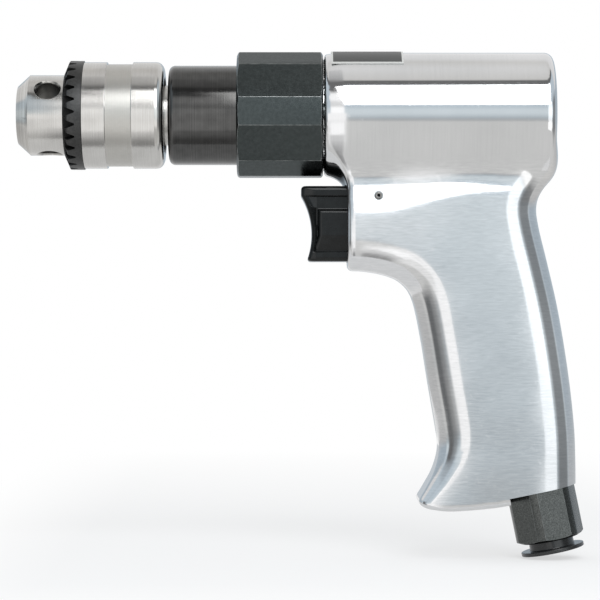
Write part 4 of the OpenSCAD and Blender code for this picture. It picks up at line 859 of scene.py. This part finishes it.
# Stage: a pale floor just under the tool that fades to the white of the room, its front part kept out
# of reflections. Two softboxes give plain soft light, and a cool grey curved wall with a pale panel,
# which the camera doesn't see, is there for the metal to mirror.
middle = (-0.094, 0.0, -0.05)
floor_drop, floor_low, floor_high, floor_seam = 0.0004, (-0.28, -0.62), (0.05, 0.22), 0.05
floor_tone, floor_glow = (0.86, 0.86, 0.86, 1), 0.6
fade_side, fade_rear, fade_front = (0.1, 0.16), (-0.6, -0.1), (0.08, 0.2)
white = (1, 1, 1, 1)


def floor_part(name, rear, front):
    """Level rectangle just under the tool."""
    level = cad_box[0][2] - floor_drop
    corners = [(floor_low[0], rear), (floor_high[0], rear), (floor_high[0], front), (floor_low[0], front)]
    return piece(name, [(x, y, level) for x, y in corners], [(0, 1, 2, 3)], to_metres=1.0)


def in_sight(wire):
    """1 for rays that show the background: from the camera, mirrored or let through."""
    seen = wire.node("LightPath", output="Is Camera Ray") + wire.node("LightPath", output="Is Glossy Ray")
    return (seen + wire.node("LightPath", output="Is Transmission Ray")).limited(0.0, 1.0)


def pale_floor(wire):
    _, (x, y, _) = place_of(wire)
    side = abs(x - (floor_low[0] + floor_high[0]) / 2)
    grey = (1 - side.limited(*fade_side)) * y.limited(*fade_rear) * (1 - y.limited(*fade_front))
    bright = floor_glow + (1 - floor_glow) * (1 - grey)
    plain = wire.node("BsdfDiffuse", None, {"Color": floor_tone})
    glow = wire.node("Emission", None, {"Color": white, "Strength": 1.0})
    return wire.node("MixShader", None, {0: in_sight(wire) * bright, 1: plain, 2: glow})


floor = floor_part("floor", floor_low[1], floor_seam)
near_floor = floor_part("near_floor", floor_seam, floor_high[1])
near_floor.visible_glossy = False
floor_white = finish("pale_floor", pale_floor)
for part in (floor, near_floor):
    part.data.materials.append(floor_white)

wall_r, wall_low, wall_high, wall_around, wall_up = 1.6, -75.0, 88.0, 72, 40


def toward(azimuth, elevation, distance):
    """Place at a distance from the tool's middle, azimuth from +Y towards +X, angles in degrees."""
    a, e = math.radians(azimuth), math.radians(elevation)
    return (middle[0] + distance * math.sin(a) * math.cos(e),
            middle[1] + distance * math.cos(a) * math.cos(e), middle[2] + distance * math.sin(e))


wall_points = [toward(azimuth, elevation, wall_r)
               for azimuth in np.linspace(-180, 180, wall_around, endpoint=False)
               for elevation in np.linspace(wall_low, wall_high, wall_up)]
index = np.arange(len(wall_points)).reshape(wall_around, wall_up)
beside = np.roll(index, -1, axis=0)
wall_faces = np.stack([index[:, :-1], beside[:, :-1], beside[:, 1:], index[:, 1:]], axis=2).reshape(-1, 4)
wall = piece("studio_wall", wall_points, wall_faces, to_metres=1.0)
wall.visible_camera = False
wall_glow, ahead_gain, panel_tone, wall_dark = 0.85, 1.55, (1.4, 1.4, 1.4, 1), (0.2, 0.205, 0.21, 1)
near_side, chuck_rear, chuck_front, chuck_near = (-0.3, -0.1), (0.05, 0.06), (0.32, 0.4), (0.0, 0.1)
flank_fade = (0.3 * wall_r, 0.5 * wall_r)
warm, cool, blue = (0.87, 0.86, 0.84), (0.73, 0.83, 0.91), (0.55, 0.63, 0.70)
plain, pale_blue = (0.84, 0.84, 0.83), (0.9, 0.99, 1.04)
# Tones up the wall and shares round it: degrees, tone or share
near_tones = (
    (-180, 1), (-90, 1), (-75, plain), (-14, plain), (-9.5, (0.60, 0.62, 0.63)), (-6, (0.62, 0.69, 0.735)),
    (-3, (0.75, 0.83, 0.88)), (2, pale_blue), (8, pale_blue), (14, cool), (53, cool), (55, 0.2), (62, 0.2),
    (65, warm), (90, 1), (180, 1))
ahead_tones = (
    (-180, 1), (-88, 0.55), (-84, 0.26), (-39, 0.26), (-36, 0.97), (-18, 0.97), (-10, 0.6), (-6, 0.6),
    (2, 1.0), (11, 1.0), (16, 0.66), (22, 0.7), (27, 0.94), (37, 0.9), (44, 0.12), (60, 0.14), (66, 0.36),
    (88, 0.56), (180, 1))
far_tones = (
    (-180, 1), (-90, 1), (-40, warm), (-10, 0.66), (3, blue), (21, blue), (24, 1), (57, 1), (69, warm),
    (90, 1), (180, 1))
flank_round = (
    (-180, 0), (-97, 0), (-91, 0.8), (-62, 0.8), (-50, 0), (37, 0), (52, 0.6), (70, 1), (82, 1), (89, 0),
    (180, 0))
panel_round = ((-180, 0), (-0.3, 0), (0.8, 1), (31, 1), (37, 0), (180, 0))
panel_up = ((-180, 0), (-60, 0), (-45, 0.5), (-14, 0.6), (-9, 1), (0, 1), (4, 0), (180, 0))


def by_angle(wire, rise, run, stops):
    """Ramp over the angle of two parts of a direction, its stops in degrees."""
    angle = wire.node("Math", {"operation": "ARCTAN2"}, {0: rise, 1: run}).limited(-math.pi, math.pi)
    stops = [(at, (tone,) * 3 if isinstance(tone, (int, float)) else tone) for at, tone in stops]
    stops = [((at + 180) / 360, (*tone, 1)) for at, tone in stops]
    return wire.node("ValToRGB", {"stops": stops}, {0: angle})


def cool_wall(wire):
    _, (x, y, z) = place_of(wire)
    east, north, up = x - middle[0], y - middle[1], z - middle[2]
    level = (east * east + north * north) ** 0.5
    near, ahead, far = (by_angle(wire, up, level, tones) for tones in (near_tones, ahead_tones, far_tones))
    ahead = wire.node("VectorMath", {"operation": "SCALE"}, {0: ahead, "Scale": ahead_gain})
    flank = by_angle(wire, east, north, flank_round) * (1 - abs(up).limited(*flank_fade))
    panel = by_angle(wire, east, north, panel_round) * by_angle(wire, up, level, panel_up)
    chuck_side = east.limited(*chuck_rear) * (1 - east.limited(*chuck_front)) * north.limited(*chuck_near)
    shade = between(wire, y.limited(*near_side), far, near)
    shade = between(wire, flank, shade, wall_dark)
    shade = between(wire, chuck_side, shade, ahead)
    shade = between(wire, panel, shade, panel_tone)
    strength = wall_glow + (1 - wall_glow) * in_sight(wire)
    return wire.node("Emission", None, {"Color": shade, "Strength": strength})


wall.data.materials.append(finish("cool_wall", cool_wall))

room_glow = 0.5
world = bpy.data.worlds.new("studio")
bpy.context.scene.world = world
world.use_nodes = True
sky = world.node_tree
sky.nodes.clear()
wire = Wire(sky)
strength = room_glow + (1 - room_glow) * in_sight(wire)
background = wire.node("Background", None, {"Color": white, "Strength": strength})
sky.links.new(background.socket, sky.nodes.new("ShaderNodeOutputWorld").inputs["Surface"])


def softbox(name, azimuth, elevation, width, height, distance, radiance):
    """Rectangular lamp that faces the tool."""
    lamp = bpy.data.lights.new(name, "AREA")
    lamp.shape, lamp.size, lamp.size_y = "RECTANGLE", width, height
    lamp.energy = radiance * math.pi * width * height
    holder = bpy.data.objects.new(name, lamp)
    bpy.context.scene.collection.objects.link(holder)
    holder.location = toward(azimuth, elevation, distance)
    holder.rotation_euler = (math.pi / 2 - math.radians(elevation), 0.0, math.pi - math.radians(azimuth))


softbox("top_light", azimuth=-16, elevation=36.5, width=0.62, height=0.64, distance=1.0, radiance=4.2)
softbox("rear_light", azimuth=-32.2, elevation=-2, width=0.66, height=0.9, distance=1.0, radiance=0.74)

view_distance, view_width, view_x, view_z = 0.85, 0.2, -0.09367, -0.0615
camera = bpy.data.cameras.new("camera")
camera.angle = 2 * math.atan(view_width / 2 / view_distance)
eye = bpy.data.objects.new("camera", camera)
bpy.context.scene.collection.objects.link(eye)
eye.location = (view_x, view_distance, view_z)
eye.rotation_euler = (math.pi / 2, 0.0, math.pi)
bpy.context.scene.camera = eye
bpy.context.scene.view_settings.view_transform = "Standard"
bpy.context.scene.view_settings.view_transform = "Standard"
